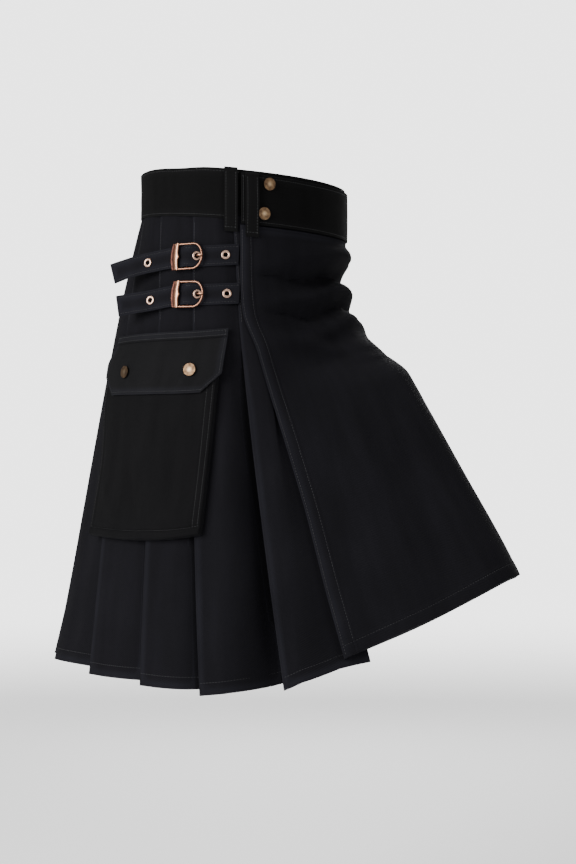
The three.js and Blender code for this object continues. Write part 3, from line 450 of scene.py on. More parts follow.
class Wire:
    """A socket of a material, on which Python's arithmetic makes Math nodes."""

    def __init__(self, tree, socket=None):
        self.tree = tree
        self.socket = socket

    def node(self, kind, sockets, settings=(), output=0):
        """Adds a node of a type, first set up, then with values or wires on its sockets."""
        made = self.tree.nodes.new(kind)
        for key, value in dict(settings).items():
            setattr(made, key, value)
        for key, value in sockets.items():
            if isinstance(value, Wire):
                self.tree.links.new(value.socket, made.inputs[key])
            else:
                made.inputs[key].default_value = value
        return Wire(self.tree, made.outputs[output])

    def feed(self, value, shader, socket):
        self.tree.links.new(value.socket, shader.inputs[socket])

    def maths(self, operation, *values):
        return self.node("ShaderNodeMath", dict(enumerate(values)), {"operation": operation})

    def __add__(self, other):
        return self.maths("ADD", self, other)

    def __radd__(self, other):
        return self.maths("ADD", other, self)

    def __sub__(self, other):
        return self.maths("SUBTRACT", self, other)

    def __rsub__(self, other):
        return self.maths("SUBTRACT", other, self)

    def __mul__(self, other):
        return self.maths("MULTIPLY", self, other)

    def __rmul__(self, other):
        return self.maths("MULTIPLY", other, self)

    def __truediv__(self, other):
        return self.maths("DIVIDE", self, other)

    def near(self, place, width):
        """1 where the value is at a place, falling to 0 a width away."""
        return self.maths("MAXIMUM", 1 - self.maths("ABSOLUTE", self - place) / width, 0.0)

    def tint(self, a, b):
        """A colour from a to b as the value goes from 0 to 1."""
        return self.node(
            "ShaderNodeMix",
            {"Factor": self.maths("MAXIMUM", self.maths("MINIMUM", self, 1.0), 0.0), 6: a, 7: b},
            {"data_type": "RGBA"},
            output=2,
        )


def new_finish(name):
    finish = bpy.data.materials.new(name)
    finish.use_nodes = True
    return finish, finish.node_tree.nodes["Principled BSDF"], Wire(finish.node_tree)


PAINTED_SHADE_RIM = -8  # the rim value of cloth under a pleat's fold and in its valley, which is painted nearly black as painted shade


def drill_cloth(name, deep, lit, rim_light, ribs=260):
    """Black cotton drill: a diagonal twill of fine ribs, faint fading along the lengthwise threads, and edges
    that have rubbed a little paler. Where the rim attribute is near the painted shade value, cloth under a
    pleat's fold and in its valley is painted nearly black as painted shade."""
    finish, shader, wire = new_finish(name)
    plan = wire.node("ShaderNodeUVMap", {})
    rim = wire.node("ShaderNodeAttribute", {}, {"attribute_name": "rim"}, output=2)
    twill = wire.node(
        "ShaderNodeTexWave",
        {"Vector": plan, "Scale": ribs, "Distortion": 1.2, "Detail": 2.0, "Detail Scale": 3.0},
        {"bands_direction": "DIAGONAL"},
        output=1,
    )
    yarn = wire.node("ShaderNodeTexNoise", {"Vector": plan, "Scale": 900.0, "Detail": 2.0})
    stretched = wire.node("ShaderNodeMapping", {"Vector": plan, "Scale": (60, 9, 1)})
    fading = wire.node("ShaderNodeTexNoise", {"Vector": stretched, "Scale": 1.0, "Detail": 4.0})
    patch = wire.node("ShaderNodeTexNoise", {"Vector": plan, "Scale": 14.0, "Detail": 3.0})
    tone = twill * 0.28 + yarn * 0.3 + fading * 0.55 + patch * 0.35 - 0.3
    rim_marks = rim.near(0.4, 1.8) * patch * 0.4 + rim.near(4.5, 5.5) * (0.06 + patch * 0.3)
    colour = rim_marks.tint(tone.tint((*deep, 1), (*lit, 1)), (*rim_light, 1))
    # painted shade: cloth under a pleat's fold and in its valley is turned nearly black
    colour = rim.near(PAINTED_SHADE_RIM, 7.5).tint(colour, (0.0008, 0.0008, 0.001, 1))
    wire.feed(colour, shader, "Base Color")
    relief = twill * 0.5 + yarn * 0.5
    bump = wire.node("ShaderNodeBump", {"Strength": 0.5, "Distance": 0.0004, "Height": relief})
    wire.feed(bump, shader, "Normal")
    wire.feed(0.97 - twill * 0.12, shader, "Roughness")
    shader.inputs["Specular IOR Level"].default_value = 0.05
    return finish


def dress(piece, finish, slot, *nodes):
    piece.data.materials.clear()
    piece.data.materials.append(finish)
    if nodes:
        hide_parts(*nodes)


def run_between(a, b, count, bulge=0.0):
    """Points after a and before b, with a soft belly between them."""
    made = []
    for k in range(1, count):
        share = k / count
        stand = mix(a[1], b[1], 0.5 * ease(share) + 0.5 * share) + bulge * math.sin(math.pi * share)
        made.append((mix(a[0], b[0], share), stand, mix(a[2], b[2], share)))
    return made


def pleat_path(pleat, fall, side):
    """One pleat: over its top layer to the pressed fold, back under, and on along the layer below."""
    top, sewn, hem, tuck_top, tuck_hem, rise, sink, dip, opens = pleat
    below = clamp((fall - SEWN_FALL) / (1 - SEWN_FALL))
    fold = mix(sewn, hem, below) if below else mix(top, sewn, fall / SEWN_FALL)
    under = fold + side * mix(tuck_top, tuck_hem, below)
    opened = ease((fall - opens) / (1 - opens))
    sunk = below**1.2
    high = mix(HIGH_LAYER, rise, opened)
    middle = high - mix(LAYER_STEP, OPEN_LAYER_STEP, opened)
    low = mix(LOW_LAYER, sink, sunk)
    drop = dip * sunk
    turned_back = min(0.45 * (middle - low), 5) / MM_PER_TURN
    path = [(under, high, drop * 0.8)]
    path += run_between(path[0], (fold + side * FOLD_ROUND, high, drop), LAYER_POINTS)
    path += [(fold + side * FOLD_ROUND * back, mix(high, middle, share), drop) for back, share in FOLD_ARC]
    path += run_between(path[-1], (under, middle, drop * 0.5), LAYER_POINTS)
    path += [
        (under + side * turned_back * out, mix(middle, low, share), drop * 0.5 * (1 - share))
        for out, share in TUCK_ARC
    ]
    path += run_between(path[-1], (fold, low, 0), LAYER_POINTS)
    path.append((fold, low, 0))
    return path if side > 0 else path[::-1]


def skirt_path(fall):
    """The whole length of drill at one fall, from its right front end round to its left front end."""
    groups = [pleat_path(pleat, fall, 1) for pleat in PLEATS_RIGHT]
    groups += [pleat_path(pleat, fall, -1) for pleat in PLEATS_LEFT]
    opened = clamp((fall - SEWN_FALL) / (1 - SEWN_FALL))
    low = -3 * fall
    tucked = mix(HIGH_LAYER, low, ease(fall / 0.6))
    right_tuck = max(through(APRON_RIGHT, fall) - 1, groups[0][0][0] + 1.2)
    left_tuck = min(through(APRON_LEFT, fall) - 359, groups[-1][-1][0] - 1.2)
    right_end = max(through(SKIRT_RIGHT_END, fall), right_tuck + 1.2)
    left_end = min(through(SKIRT_LEFT_END, fall) - 360, left_tuck - 1.2)
    stops = [(right_end, low, END_DROP * fall**3), (right_tuck, tucked, TUCK_DROP * fall**3)]
    path = [stops[0], *run_between(*stops, LAYER_POINTS), stops[1]]
    for i, group in enumerate(groups):
        points = PANEL_POINTS if i else 3
        path += run_between(path[-1], group[0], points, PANEL_BULGE * opened if i else 0)
        path += group
    stops = [(left_tuck, tucked, TUCK_DROP * 0.5 * fall**3), (left_end, low, END_DROP * 0.5 * fall**3)]
    path += [*run_between(path[-1], stops[0], 3), stops[0], *run_between(*stops, LAYER_POINTS), stops[1]]
    return path


def skirt_point(turn, fall, stand, drop=0.0):
    return on_cloth(turn, fall, stand + ease(fall / 0.1) * soft_marks(SKIRT_MARKS, turn, fall), drop)


COVER_REACH = 18  # points of the path on each side in which a covering layer is looked for
LAYER_APART = 0.7  # millimetres above a point from which a layer covers it
SHADED = 12  # millimetres past a fold over which the painted shade in a pleat's valley fades out
FOLD_WIDTH = 16  # millimetres beside an outer fold that light always reaches


def is_covered(path, k):
    """Whether another layer of the folded length lies over one of its points."""
    turn, stand = path[k][:2]
    near = path[max(0, k - COVER_REACH) : k + COVER_REACH]
    return any(
        min(a[0], b[0]) <= turn <= max(a[0], b[0]) and min(a[1], b[1]) > stand + LAYER_APART
        for a, b in zip(near, near[1:])
    )


def turns_back(path, k):
    """Whether the folded length turns back at one of its points."""
    return (path[k][0] - path[k - 1][0]) * (path[k + 1][0] - path[k][0]) < 0


BLACK_DEEP = (0.0026, 0.0025, 0.0031)
BLACK_LIT = (0.0078, 0.0075, 0.0096)
BLACK_RIM = (0.0165, 0.0168, 0.0225)
black_drill = drill_cloth("black_drill", BLACK_DEEP, BLACK_LIT, BLACK_RIM)
SEWN_UP = 5  # millimetres of the top edge that lie inside the band
top_path = skirt_path(0)
skirt_grid = [[waist(turn, SEWN_UP - BAND_HEIGHT / 2, 1 + stand * 0.3) for turn, stand, _ in top_path]]
# the top edge, inside the band, is marked for painted shade
skirt_wear_and_shade = [[PAINTED_SHADE_RIM for _ in top_path]]
for row in range(SKIRT_ROWS + 1):
    row_fall = row / SKIRT_ROWS
    path = skirt_path(row_fall)
    skirt_grid.append([skirt_point(turn, row_fall, stand, drop) for turn, stand, drop in path])
    folds = [k for k in range(1, len(path) - 1) if turns_back(path, k)]
    outer = [k for k in folds if path[k][1] > path[k - 2][1] - 8 and path[k][1] >= 0.9]
    line = run_lengths(skirt_grid[-1])
    from_hem = (1 - row_fall) * MM_PER_FALL
    hanging = ease((row_fall - SEWN_FALL) / 0.2)
    shaded = 0.1 + SHADED * hanging
    narrowed = 2.2 - 1.2 * hanging
    unrubbed = 1.3 * (1 - hanging)
    covered = [k for k in range(len(path)) if is_covered(path, k)]
    rim_marks = []
    for k in range(len(path)):
        from_fold = min(abs(line[k] - line[fold]) for fold in outer)
        from_cover = min(abs(line[k] - line[other]) for other in covered)
        # painted shade: covered cloth, and cloth a little past it away from the outer folds, is marked for a
        # near-black colour; elsewhere the value is the distance for rubbed wear
        if from_cover == 0 or (from_fold > FOLD_WIDTH and from_cover < shaded):
            rim_marks.append(mix(PAINTED_SHADE_RIM, 0, from_cover / shaded))
        else:
            rim_marks.append(min(from_hem, from_fold * narrowed + unrubbed))
    skirt_wear_and_shade.append(rim_marks)
skirt_cloth = lay_cloth("skirt_cloth", skirt_grid, SKIRT_CLOTH, skirt_wear_and_shade)
dress(skirt_cloth, black_drill, "drill", "pleated_skirt")

# Black lockstitch along the hem of the skirt and down each pleat as far as it is sewn flat.
STITCH_LENGTH, STITCH_GAP, THREAD = 2.7, 0.9, 0.3
THREAD_DEEP, THREAD_LIT = (0.002, 0.002, 0.0024, 1), (0.006, 0.006, 0.0082, 1)
FOLD_SEWN = 0.9  # degrees of turn from a pressed fold to its stitches
HEM_SEWN = 14  # millimetres from the hem to its stitches
thread_finish, thread_shader, thread_wire = new_finish("black_thread")
thread_noise = thread_wire.node("ShaderNodeTexNoise", {"Scale": 3000.0, "Detail": 2.0})
thread_wire.feed(thread_noise.tint(THREAD_DEEP, THREAD_LIT), thread_shader, "Base Color")
thread_wire.feed(0.5 + thread_noise * 0.25, thread_shader, "Roughness")


def sew(name, lines):
    """Lockstitches of thread along lines, each a list of points on a cloth's face with its normals."""
    lay_down_selection()
    bpy.ops.mesh.primitive_uv_sphere_add(segments=6, ring_count=4, radius=1)
    stitch = bpy.context.object
    corners = [corner.co.copy() for corner in stitch.data.vertices]
    faces = [tuple(face.vertices) for face in stitch.data.polygons]
    points, sides = [], []
    for line in lines:
        walked, due = 0.0, 0.5 * STITCH_LENGTH
        for (a, out), (b, _) in zip(line, line[1:]):
            step = (b - a).length
            if step < 1e-6:
                continue
            ahead = (b - a) / step
            aside = ahead.cross(out).normalized()
            while walked + step >= due:
                middle = a + ahead * (due - walked)
                base = len(points)
                for corner in corners:
                    spot = middle + ahead * (corner.z * STITCH_LENGTH / 2) + aside * (corner.x * THREAD)
                    points.append((spot + out * (corner.y * THREAD * 0.7)) * MM)
                sides += [[base + k for k in face] for face in faces]
                due += STITCH_LENGTH + STITCH_GAP
            walked += step
    stitch.data = bpy.data.meshes.new(name)
    stitch.name = name
    stitch.data.from_pydata(points, [], sides)
    stitch.data.update()
    bpy.ops.object.mode_set(mode="EDIT")
    bpy.ops.mesh.select_all(action="SELECT")
    bpy.ops.mesh.normals_make_consistent(inside=False)
    bpy.ops.object.mode_set(mode="OBJECT")
    bpy.ops.object.shade_smooth()
    stitch.data.materials.append(thread_finish)
    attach(stitch, "root")
    return stitch


def seam_on(surface, places, face):
    """A seam's points and normals: surface gives a point for a place and a lift off the cloth's middle,
    and face is the lift of its outer face."""
    line = []
    for place in places:
        point = surface(*place, face)
        line.append((point, (surface(*place, face + 1) - point).normalized()))
    return line


def steps(start, stop, count):
    return [mix(start, stop, k / count) for k in range(count + 1)]


skirt_lines = []
for pleats, side in ((PLEATS_RIGHT, 1), (PLEATS_LEFT, -1)):
    for pleat in pleats:
        top, sewn = pleat[:2]
        falls = steps(0.012, SEWN_FALL, 40)
        places = [(mix(top, sewn, fall / SEWN_FALL) + side * FOLD_SEWN, fall) for fall in falls]
        skirt_lines.append(seam_on(skirt_point, places, CLOTH_TOP))
hem_fall = 1 - HEM_SEWN / MM_PER_FALL
hem_path = skirt_path(hem_fall)
hem_runs, run = [], []
for a, b in zip(hem_path, hem_path[1:]):
    outward = abs(b[0] - a[0]) > 0.35 and (b[0] - a[0]) < 0
    if outward:
        run += [a, b]
    elif run:
        hem_runs.append(run)
        run = []
hem_runs.append(run)


def hem_point(turn, stand, drop, lift):
    return skirt_point(turn, hem_fall, stand + lift, drop)


skirt_lines += [seam_on(hem_point, run, SKIRT_CLOTH / 2) for run in hem_runs if len(run) > 2]
skirt_stitches = sew("skirt_stitches", skirt_lines)


# The front apron is a flat panel of the same drill, with its side edges and hem turned under and
# stitched. It hangs from the lapped end of the waistband, over the front pleats and the thigh.
APRON_CLOTH = 1.2
APRON_STAND, APRON_EDGE_STAND = 3.7, 4.6
FRONT_LENGTH = 430
BAND_END, BAND_START = 18.8 - 360, 160
BAND_DROOPS = [(BAND_END, -4.5), (-322, -4.5), (-305, -4.5), (-250, -4.5), (-210, -0.6), (-196, 0), (160, 0)]
APRON_WIDE, APRON_TALL = 360, 500
TURNED_EDGE = 14
EDGE_SEWN, TURN_SEWN = 2.2, TURNED_EDGE - 1.3  # millimetres from an edge to its two rows of stitches
EDGE_STOPS = [0, 0.5, 1.2, 2.4, 4, 6.5, 9, 11, 12, 12.7, 13.4, 14.2, 15.2, 17, 20]
APRON_MARKS = [
    (26, 0.122, 58, 0.136, -3.4, 3.6),
    (28, 0.104, 66, 0.112, 1.6, 6),
    (30, 0.206, 58, 0.24, -4.0, 4.2),
    (34, 0.182, 68, 0.206, 1.8, 6),
    (48, 0.034, 84, 0.044, -2.4, 3.6),
    (30, 0.24, 74, 0.33, -1.8, 8),
    (24, 0.262, 74, 0.365, 2.2, 9),
    (52, 0.36, 96, 0.4, -1.8, 10),
    (100, 0.1, 128, 0.06, -1.6, 6),
    (104, 0.27, 140, 0.2, -1.8, 7),
    (60, 0.55, 58, 1.05, 2.2, 16),
    (74, 0.62, 73, 1.04, -2.4, 15),
    (88, 0.5, 88, 1.05, 2.6, 18),
    (103, 0.6, 102, 1.04, -2.4, 15),
    (118, 0.5, 115, 1.05, 2.4, 17),
    (132, 0.62, 128, 1.04, -2.0, 13),
    (46, 0.7, 47, 1.04, -1.6, 10),
]


def hem_relief(distance):
    """How far a turned edge stands out: thicker, rolled at its fold, and dented along its stitches."""
    thicker = 0.55 * (1 - ease((distance - TURNED_EDGE) / 1.5))
    return thicker - 0.45 * swell_at(distance, TURN_SEWN, 0.7) - 0.5 * swell_at(distance, 0, 0.9)


def edge_shares(stops, length, spacing, both=True):
    """Shares of a length that are close together near its edges and evenly spaced between them."""
    near = [stop / length for stop in stops]
    far = [1 - share for share in reversed(near)] if both else [1]
    count = max(2, round((far[0] - near[-1]) * length / spacing))
    return near + steps(near[-1], far[0], count)[1:-1] + far


def hem_shares(stops, length, spacing):
    """Shares of a length that are close together near its lower edge only."""
    return [1 - share for share in reversed(edge_shares(stops, length, spacing, both=False))]


def apron_point(across, down, lift=0.0):
    """A point of the apron, at a share of the way from its right edge to its left and from top to hem."""
    turn = mix(through(APRON_RIGHT, down), through(APRON_LEFT, down), across)
    top = 0.0012 - through(BAND_DROOPS, turn - 360) / FRONT_LENGTH
    fall = mix(top, 1.006, down)
    from_side = min(across, 1 - across)
    stand = mix(APRON_EDGE_STAND, APRON_STAND, ease(from_side / 0.18)) + lift
    stand += hem_relief(from_side * APRON_WIDE) + hem_relief((1 - down) * APRON_TALL)
    shape = ease(from_side / 0.1) * ease(down / 0.06) * soft_marks(APRON_MARKS, turn, fall)
    return on_cloth(turn, fall, stand + shape)


apron_columns = edge_shares(EDGE_STOPS, APRON_WIDE, 4.2)
apron_rows = hem_shares(EDGE_STOPS, APRON_TALL, 4.2)
apron_grid = [[apron_point(across, down) for across in apron_columns] for down in apron_rows]
apron_cloth = lay_cloth("apron_cloth", apron_grid, APRON_CLOTH)
dress(apron_cloth, black_drill, "drill", "apron")
apron_edge, apron_side = EDGE_SEWN / APRON_WIDE, TURN_SEWN / APRON_WIDE
apron_hem = 1 - TURN_SEWN / APRON_TALL
apron_rows_sewn = [
    [(apron_edge, down) for down in steps(0.01, 1, 180)],
    [(apron_side, down) for down in steps(0.01, apron_hem, 180)],
    [(1 - apron_edge, down) for down in steps(0.01, 1, 180)],
    [(1 - apron_side, down) for down in steps(0.01, apron_hem, 180)],
    [(across, apron_hem) for across in steps(0.01, 0.99, 160)],
]
apron_lines = [seam_on(apron_point, places, APRON_CLOTH / 2) for places in apron_rows_sewn]
apron_stitches = sew("apron_stitches", apron_lines)

# The under apron is a plain panel of drill between the two front ends of the pleated length. It
# hangs from the inner layer of the waistband and is seen only from below and inside.
UNDER_TALL = 480
UNDER_SINK = -6
UNDER_LENGTH = 0.95
UNDER_RIGHT = [(fall, turn + 0.4) for fall, turn in SKIRT_RIGHT_END]
UNDER_LEFT = [(fall, turn - 0.4) for fall, turn in SKIRT_LEFT_END]


def under_point(across, down, lift=0.0):
    fall = down * UNDER_LENGTH
    turn = mix(through(UNDER_RIGHT, fall), through(UNDER_LEFT, fall), across)
    stand = UNDER_SINK * fall + lift + hem_relief((1 - down) * UNDER_TALL)
    return on_cloth(turn, fall, stand + ease(down / 0.06) * 0.6 * soft_marks(APRON_MARKS, turn, fall))


under_columns = steps(0, 1, 60)
under_rows = hem_shares(EDGE_STOPS, UNDER_TALL, 6)
under_grid = [[under_point(across, down) for across in under_columns] for down in under_rows]
under_cloth = lay_cloth("under_apron_cloth", under_grid, SKIRT_CLOTH)
dress(under_cloth, black_drill, "drill", "under_apron")
under_places = [(across, 1 - TURN_SEWN / UNDER_TALL) for across in steps(0.01, 0.99, 120)]
under_stitches = sew("under_apron_stitches", [seam_on(under_point, under_places, SKIRT_CLOTH / 2)])

# The waistband is one long doubled strip of drill over firm interfacing, folded along its top edge
# and stitched along both. It starts at the left front, laps right round, and snaps at the right hip.
BAND_CLOTH = 2.6
BAND_ROUND = 1.1
BAND_SEWN = 26.5  # millimetres from the band's middle to each row of stitches
# how far the band stands out from the waist, by turn: more where it laps over itself
BAND_STANDS = [(BAND_END, 5), (-322, 4.8), (-305, 3.7), (-250, 3.7), (-210, 3.9), (-196, 4.2)]
BAND_STANDS += [(-176, 2.4), (10, 2.4), (19, 0.6), (BAND_START, 0.6)]
# small waves of the upper edge: turn, height in mm, width in degrees
BAND_WAVES = [(-336, 1.2, 4), (-346, 1.1, 4), (-15, -0.9, 9), (-38, 0.7, 12)]
BAND_WAVES += [(-97, 0.6, 9), (-160, -0.6, 12), (-262, 0.7, 14), (-300, -0.6, 10)]


def band_point(turn, height, lift=0.0):
    upper = ease((height + BAND_HEIGHT / 2) / BAND_HEIGHT)
    wave = sum(rise * swell_at(turn, at, width) for at, rise, width in BAND_WAVES)
    bowed = 0.5 * math.sin(math.radians(turn * 7)) * math.sin(math.pi * (height / BAND_HEIGHT + 0.5))
    dent = 0.16 * swell_at(abs(height), BAND_SEWN, 1)
    stand = through(BAND_STANDS, turn) + bowed - dent + lift
    return waist(turn, height + through(BAND_DROOPS, turn) + wave * upper, stand)


band_heights = [30, 29.3, 28.4, 27.4, 26.5, 25.6, 24.4, 21, 15, 9, 3]
band_heights += [-height for height in reversed(band_heights)]
band_turns = steps(BAND_START, BAND_END, 230)
black_band = drill_cloth(
    "black_band",
    deep=(0.0016, 0.0016, 0.0016),
    lit=(0.0046, 0.0046, 0.0047),
    rim_light=(0.0062, 0.0062, 0.0066),
)


def round_edges(piece, name, width, angle):
    """Rounds the edges of the active piece that are sharper than an angle in degrees."""
    rounded = piece.modifiers.new(name, "BEVEL")
    rounded.width = width * MM
    rounded.segments = 3
    rounded.limit_method = "ANGLE"
    rounded.angle_limit = math.radians(angle)
    bpy.ops.object.modifier_apply(modifier=rounded.name)


band_grid = [[band_point(turn, height) for turn in band_turns] for height in band_heights]
band_cloth = lay_cloth("band_cloth", band_grid, BAND_CLOTH)
round_edges(band_cloth, "folded_edge", BAND_ROUND, 60)
dress(band_cloth, black_band, "band", "waistband")
band_sewn_turns = [*steps(18, -200, 360), *steps(-200, BAND_END + 0.8, 260)]
band_rows_sewn = [[(turn, height) for turn in band_sewn_turns] for height in (BAND_SEWN, -BAND_SEWN)]
band_rows_sewn.append([(BAND_END + 1.1, height) for height in steps(-26, 26, 30)])
band_lines = [seam_on(band_point, places, BAND_CLOTH / 2) for places in band_rows_sewn]
band_stitches = sew("band_stitches", band_lines)

# Six belt loops, each a doubled strip folded over the band's top edge, lying a little off its face,
# and sewn down on the cloth just below it. Two pairs sit at the hips and one pair at the back.
LOOP_CLOTH = 1.8
LOOP_SEWN = 5.4
SEAM_GAP = 0.3
# the turn of each loop, how far the band's face and the cloth below stand out, and how far it droops
LOOPS = [
    ("right_back", 13.5, 3.7, CLOTH_TOP, 0),
    ("right_front", 24.2, 6.4, 5.6, -4.5),
    ("left_back", 168, 5.4, CLOTH_TOP, 0),
    ("left_front", 156.5, 5.6, 5.6, -0.3),
    ("back_right", -83, 3.7, CLOTH_TOP, 0),
    ("back_left", -97, 3.7, CLOTH_TOP, 0),
]
LOOP_EDGES = [-7.5, -7.1, -6.4, -5.4, -4.6, -3, -1, 1, 3, 4.6, 5.4, 6.4, 7.1, 7.5]


def smooth_path(points, count):
    """Evenly spaced points on a smooth curve through points of two coordinates."""
    lengths = run_lengths(points)
    rows = [list(zip(lengths, column)) for column in zip(*points)]
    return [tuple(through(row, at) for row in rows) for at in steps(0, lengths[-1], count)]


def loop_point(turn, droop, along, across, stand):
    below = max(0, along - BAND_HEIGHT / 2 - SEAM_GAP)
    down = cloth_frame(turn, 0.02)[2]
    stand += math.hypot(down.x, down.y) * below
    return waist(turn + across / cloth_frame(turn, 0)[4], droop - along, stand)


for name, turn, band_face, cloth_face, droop in LOOPS:
    half = LOOP_CLOTH / 2
    loop_path = smooth_path(
        [
            (-30.9, band_face - 2.2),
            (-30.9, band_face + 0.1 + half),
            (-28.6, band_face + 0.5 + half),
            (-17, band_face + 1.9 + half),
            (2, band_face + 2.5 + half),
            (20, band_face + 2 + half),
            (32, band_face + 1 + half),
            (39, cloth_face + 1 + half),
            (45, cloth_face + 0.4 + half),
        ],
        60,
    )

    def loop_at(step, across, lift=0.0):
        along, stand = loop_path[step]
        groove = 0.12 * swell_at(abs(across), LOOP_SEWN, 0.8)
        tucked = 0.12 * swell_at(along, 42, 0.8)
        return loop_point(turn, droop, along, across, stand - groove - tucked + lift)

    grid = [[loop_at(step, across) for across in LOOP_EDGES] for step in range(len(loop_path))]
    loop_cloth = lay_cloth("loop_" + name, grid, LOOP_CLOTH)
    dress(loop_cloth, black_band, "band", "belt_loop_" + name)
    loop_rows_sewn = [[(step, across) for step in range(6, 59)] for across in (-LOOP_SEWN, LOOP_SEWN)]
    loop_rows_sewn.append([(56, across) for across in LOOP_EDGES[1:-1]])
    loop_lines = [seam_on(loop_at, places, half) for places in loop_rows_sewn]
    loop_stitches = sew("loop_stitches_" + name, loop_lines)

# A cargo pocket on each hip: a patch of drill with gusseted sides that stand it off the pleats, its
# mouth under the flap. It is double stitched near its front edge and once above its foot.
POCKET_RIGHT = [(0.35, 6), (0.69, 0.2)]
POCKET_LEFT = [(0.35, -53.5), (0.42, -54.6), (0.49, -51.8), (0.57, -49.8), (0.72, -50.8)]
POCKET_TOP, POCKET_FOOT = (0.345, 0.372), (0.68, 0.718)
POCKET_WIDE, POCKET_TALL = 172, 190
POCKET_DEPTH, POCKET_CLOTH, POCKET_BELLY = 8, 1.2, 2.5
POCKET_BASE, POCKET_BASE_LOW = 4.4, 8.2
POCKET_CORNER = 2.6
POCKET_SEWN, POCKET_FOLD_SEWN = 4, 10  # millimetres from the pocket's edges to its two rows of stitches
POCKET_SAG = 0.0075
POCKET_STOPS = [0, 0.12, 0.45, 0.95, 1.6, 2.3, 3, 4, 5.5, 7, 8.6, 10, 11.4, 13.5]
POCKET_MARKS = [
    (-6, 0.42, -14, 0.62, -1.6, 9),
    (-20, 0.44, -26, 0.56, 2.0, 12),
    (-30, 0.56, -26, 0.68, -2.2, 7),
    (-40, 0.42, -38, 0.58, -1.4, 10),
    (-44, 0.6, -38, 0.66, 2.0, 9),
    (-47, 0.675, -34, 0.685, -1.6, 4),
    (-8, 0.4, -30, 0.41, -1.4, 7),
    (-6, 0.6, -16, 0.68, 1.4, 9),
]


def side_turn(side, turn):
    return turn if side == "right" else 180 - turn


def pocket_point(side, across, down, lift=0.0):
    """A point of the pocket, from its front edge to its back edge and from its mouth to its foot."""
    fall = mix(mix(*POCKET_TOP, across), mix(*POCKET_FOOT, across), down)
    fall += POCKET_SAG * math.sin(math.pi * clamp(across)) * down**2
    turn = mix(through(POCKET_RIGHT, fall), through(POCKET_LEFT, fall), across)
    from_edge = min(across * POCKET_WIDE, (1 - across) * POCKET_WIDE, (1 - down) * POCKET_TALL)
    corner = clamp(from_edge / POCKET_CORNER)
    wall = (POCKET_DEPTH + POCKET_CLOTH / 2) * math.sqrt(1 - (1 - corner) ** 2)
    swell = POCKET_BELLY * math.sin(math.pi * clamp(across)) * math.sin(math.pi * clamp(down))
    shape = corner * (swell + ease(from_edge / 25) * soft_marks(POCKET_MARKS, turn, fall))
    seam = 0.5 * swell_at(from_edge, POCKET_FOLD_SEWN, 0.8) + 0.3 * swell_at(from_edge, POCKET_SEWN, 0.7)
    from_foot = (1 - down) * POCKET_TALL
    seam += 1.1 * swell_at(from_foot, POCKET_FOLD_SEWN, 1.6) - 0.8 * swell_at(from_foot, 5.5, 2.6)
    base = mix(POCKET_BASE, POCKET_BASE_LOW, ease((fall - 0.4) / 0.3))
    point, _, _, normal, _ = cloth_frame(side_turn(side, turn), fall)
    return point + normal * (base + wall + shape - corner * seam + lift)


pocket_columns = edge_shares(POCKET_STOPS, POCKET_WIDE, 4)
pocket_rows = [1 - share for share in reversed(edge_shares(POCKET_STOPS, POCKET_TALL, 4, both=False))]
pocket_drill = drill_cloth(
    "pocket_drill",
    deep=(0.0022, 0.0022, 0.0024),
    lit=(0.0058, 0.0057, 0.0062),
    rim_light=(0.013, 0.0132, 0.0165),
)
for side in ("right", "left"):
    grid = [[pocket_point(side, x, y) for x in pocket_columns] for y in pocket_rows]
    pocket_cloth = lay_cloth("pocket_cloth_" + side, grid, POCKET_CLOTH)
    dress(pocket_cloth, pocket_drill, "drill", "pocket_" + side)

    def pocket_seam(places):
        return seam_on(lambda x, y, lift: pocket_point(side, x, y, lift), places, POCKET_CLOTH / 2)

    foot = 1 - POCKET_FOLD_SEWN / POCKET_TALL
    downs = steps(0.02, foot, 90)
    insets = (POCKET_SEWN, POCKET_FOLD_SEWN)
    front_lines = [pocket_seam([(inset / POCKET_WIDE, y) for y in downs]) for inset in insets]
    back_line = pocket_seam([(1 - POCKET_SEWN / POCKET_WIDE, y) for y in downs])
    foot_line = pocket_seam([(x, foot) for x in steps(0.03, 0.97, 90)])
    pocket_stitches = sew("pocket_stitches_" + side, [*front_lines, back_line, foot_line])

# The flap over each pocket is doubled drill with cut corners, sewn down along a stitched strip at
# its top and closed over the pocket's mouth by two snaps.
DOUBLE_CLOTH = 2.0
FLAP_TOP, FLAP_FOOT = (0.2405, 0.272), (0.382, 0.404)
FLAP_FRONT, FLAP_BACK = (10.5, 6.6), (-54.6, -53)
FLAP_CHAMFER_TURN, FLAP_CHAMFER_FALL = 7, 0.041
FLAP_WIDE, FLAP_TALL = 205, 77
FLAP_RISE = [(0, CLOTH_TOP + 1.9), (0.13, CLOTH_TOP + 2.2), (0.3, 9.6), (0.45, 15.2), (1, 16.2)]
FLAP_STRIP, FLAP_GROOVE = 9, 10.2  # the height of the sewn strip, and of the groove below it
FLAP_SEWN = 3.2
FLAP_STOPS = [0, 0.4, 1, 2, 3.2, 4.4, 6, 8, 9, 9.6, 10.2, 10.8, 11.6, 13]


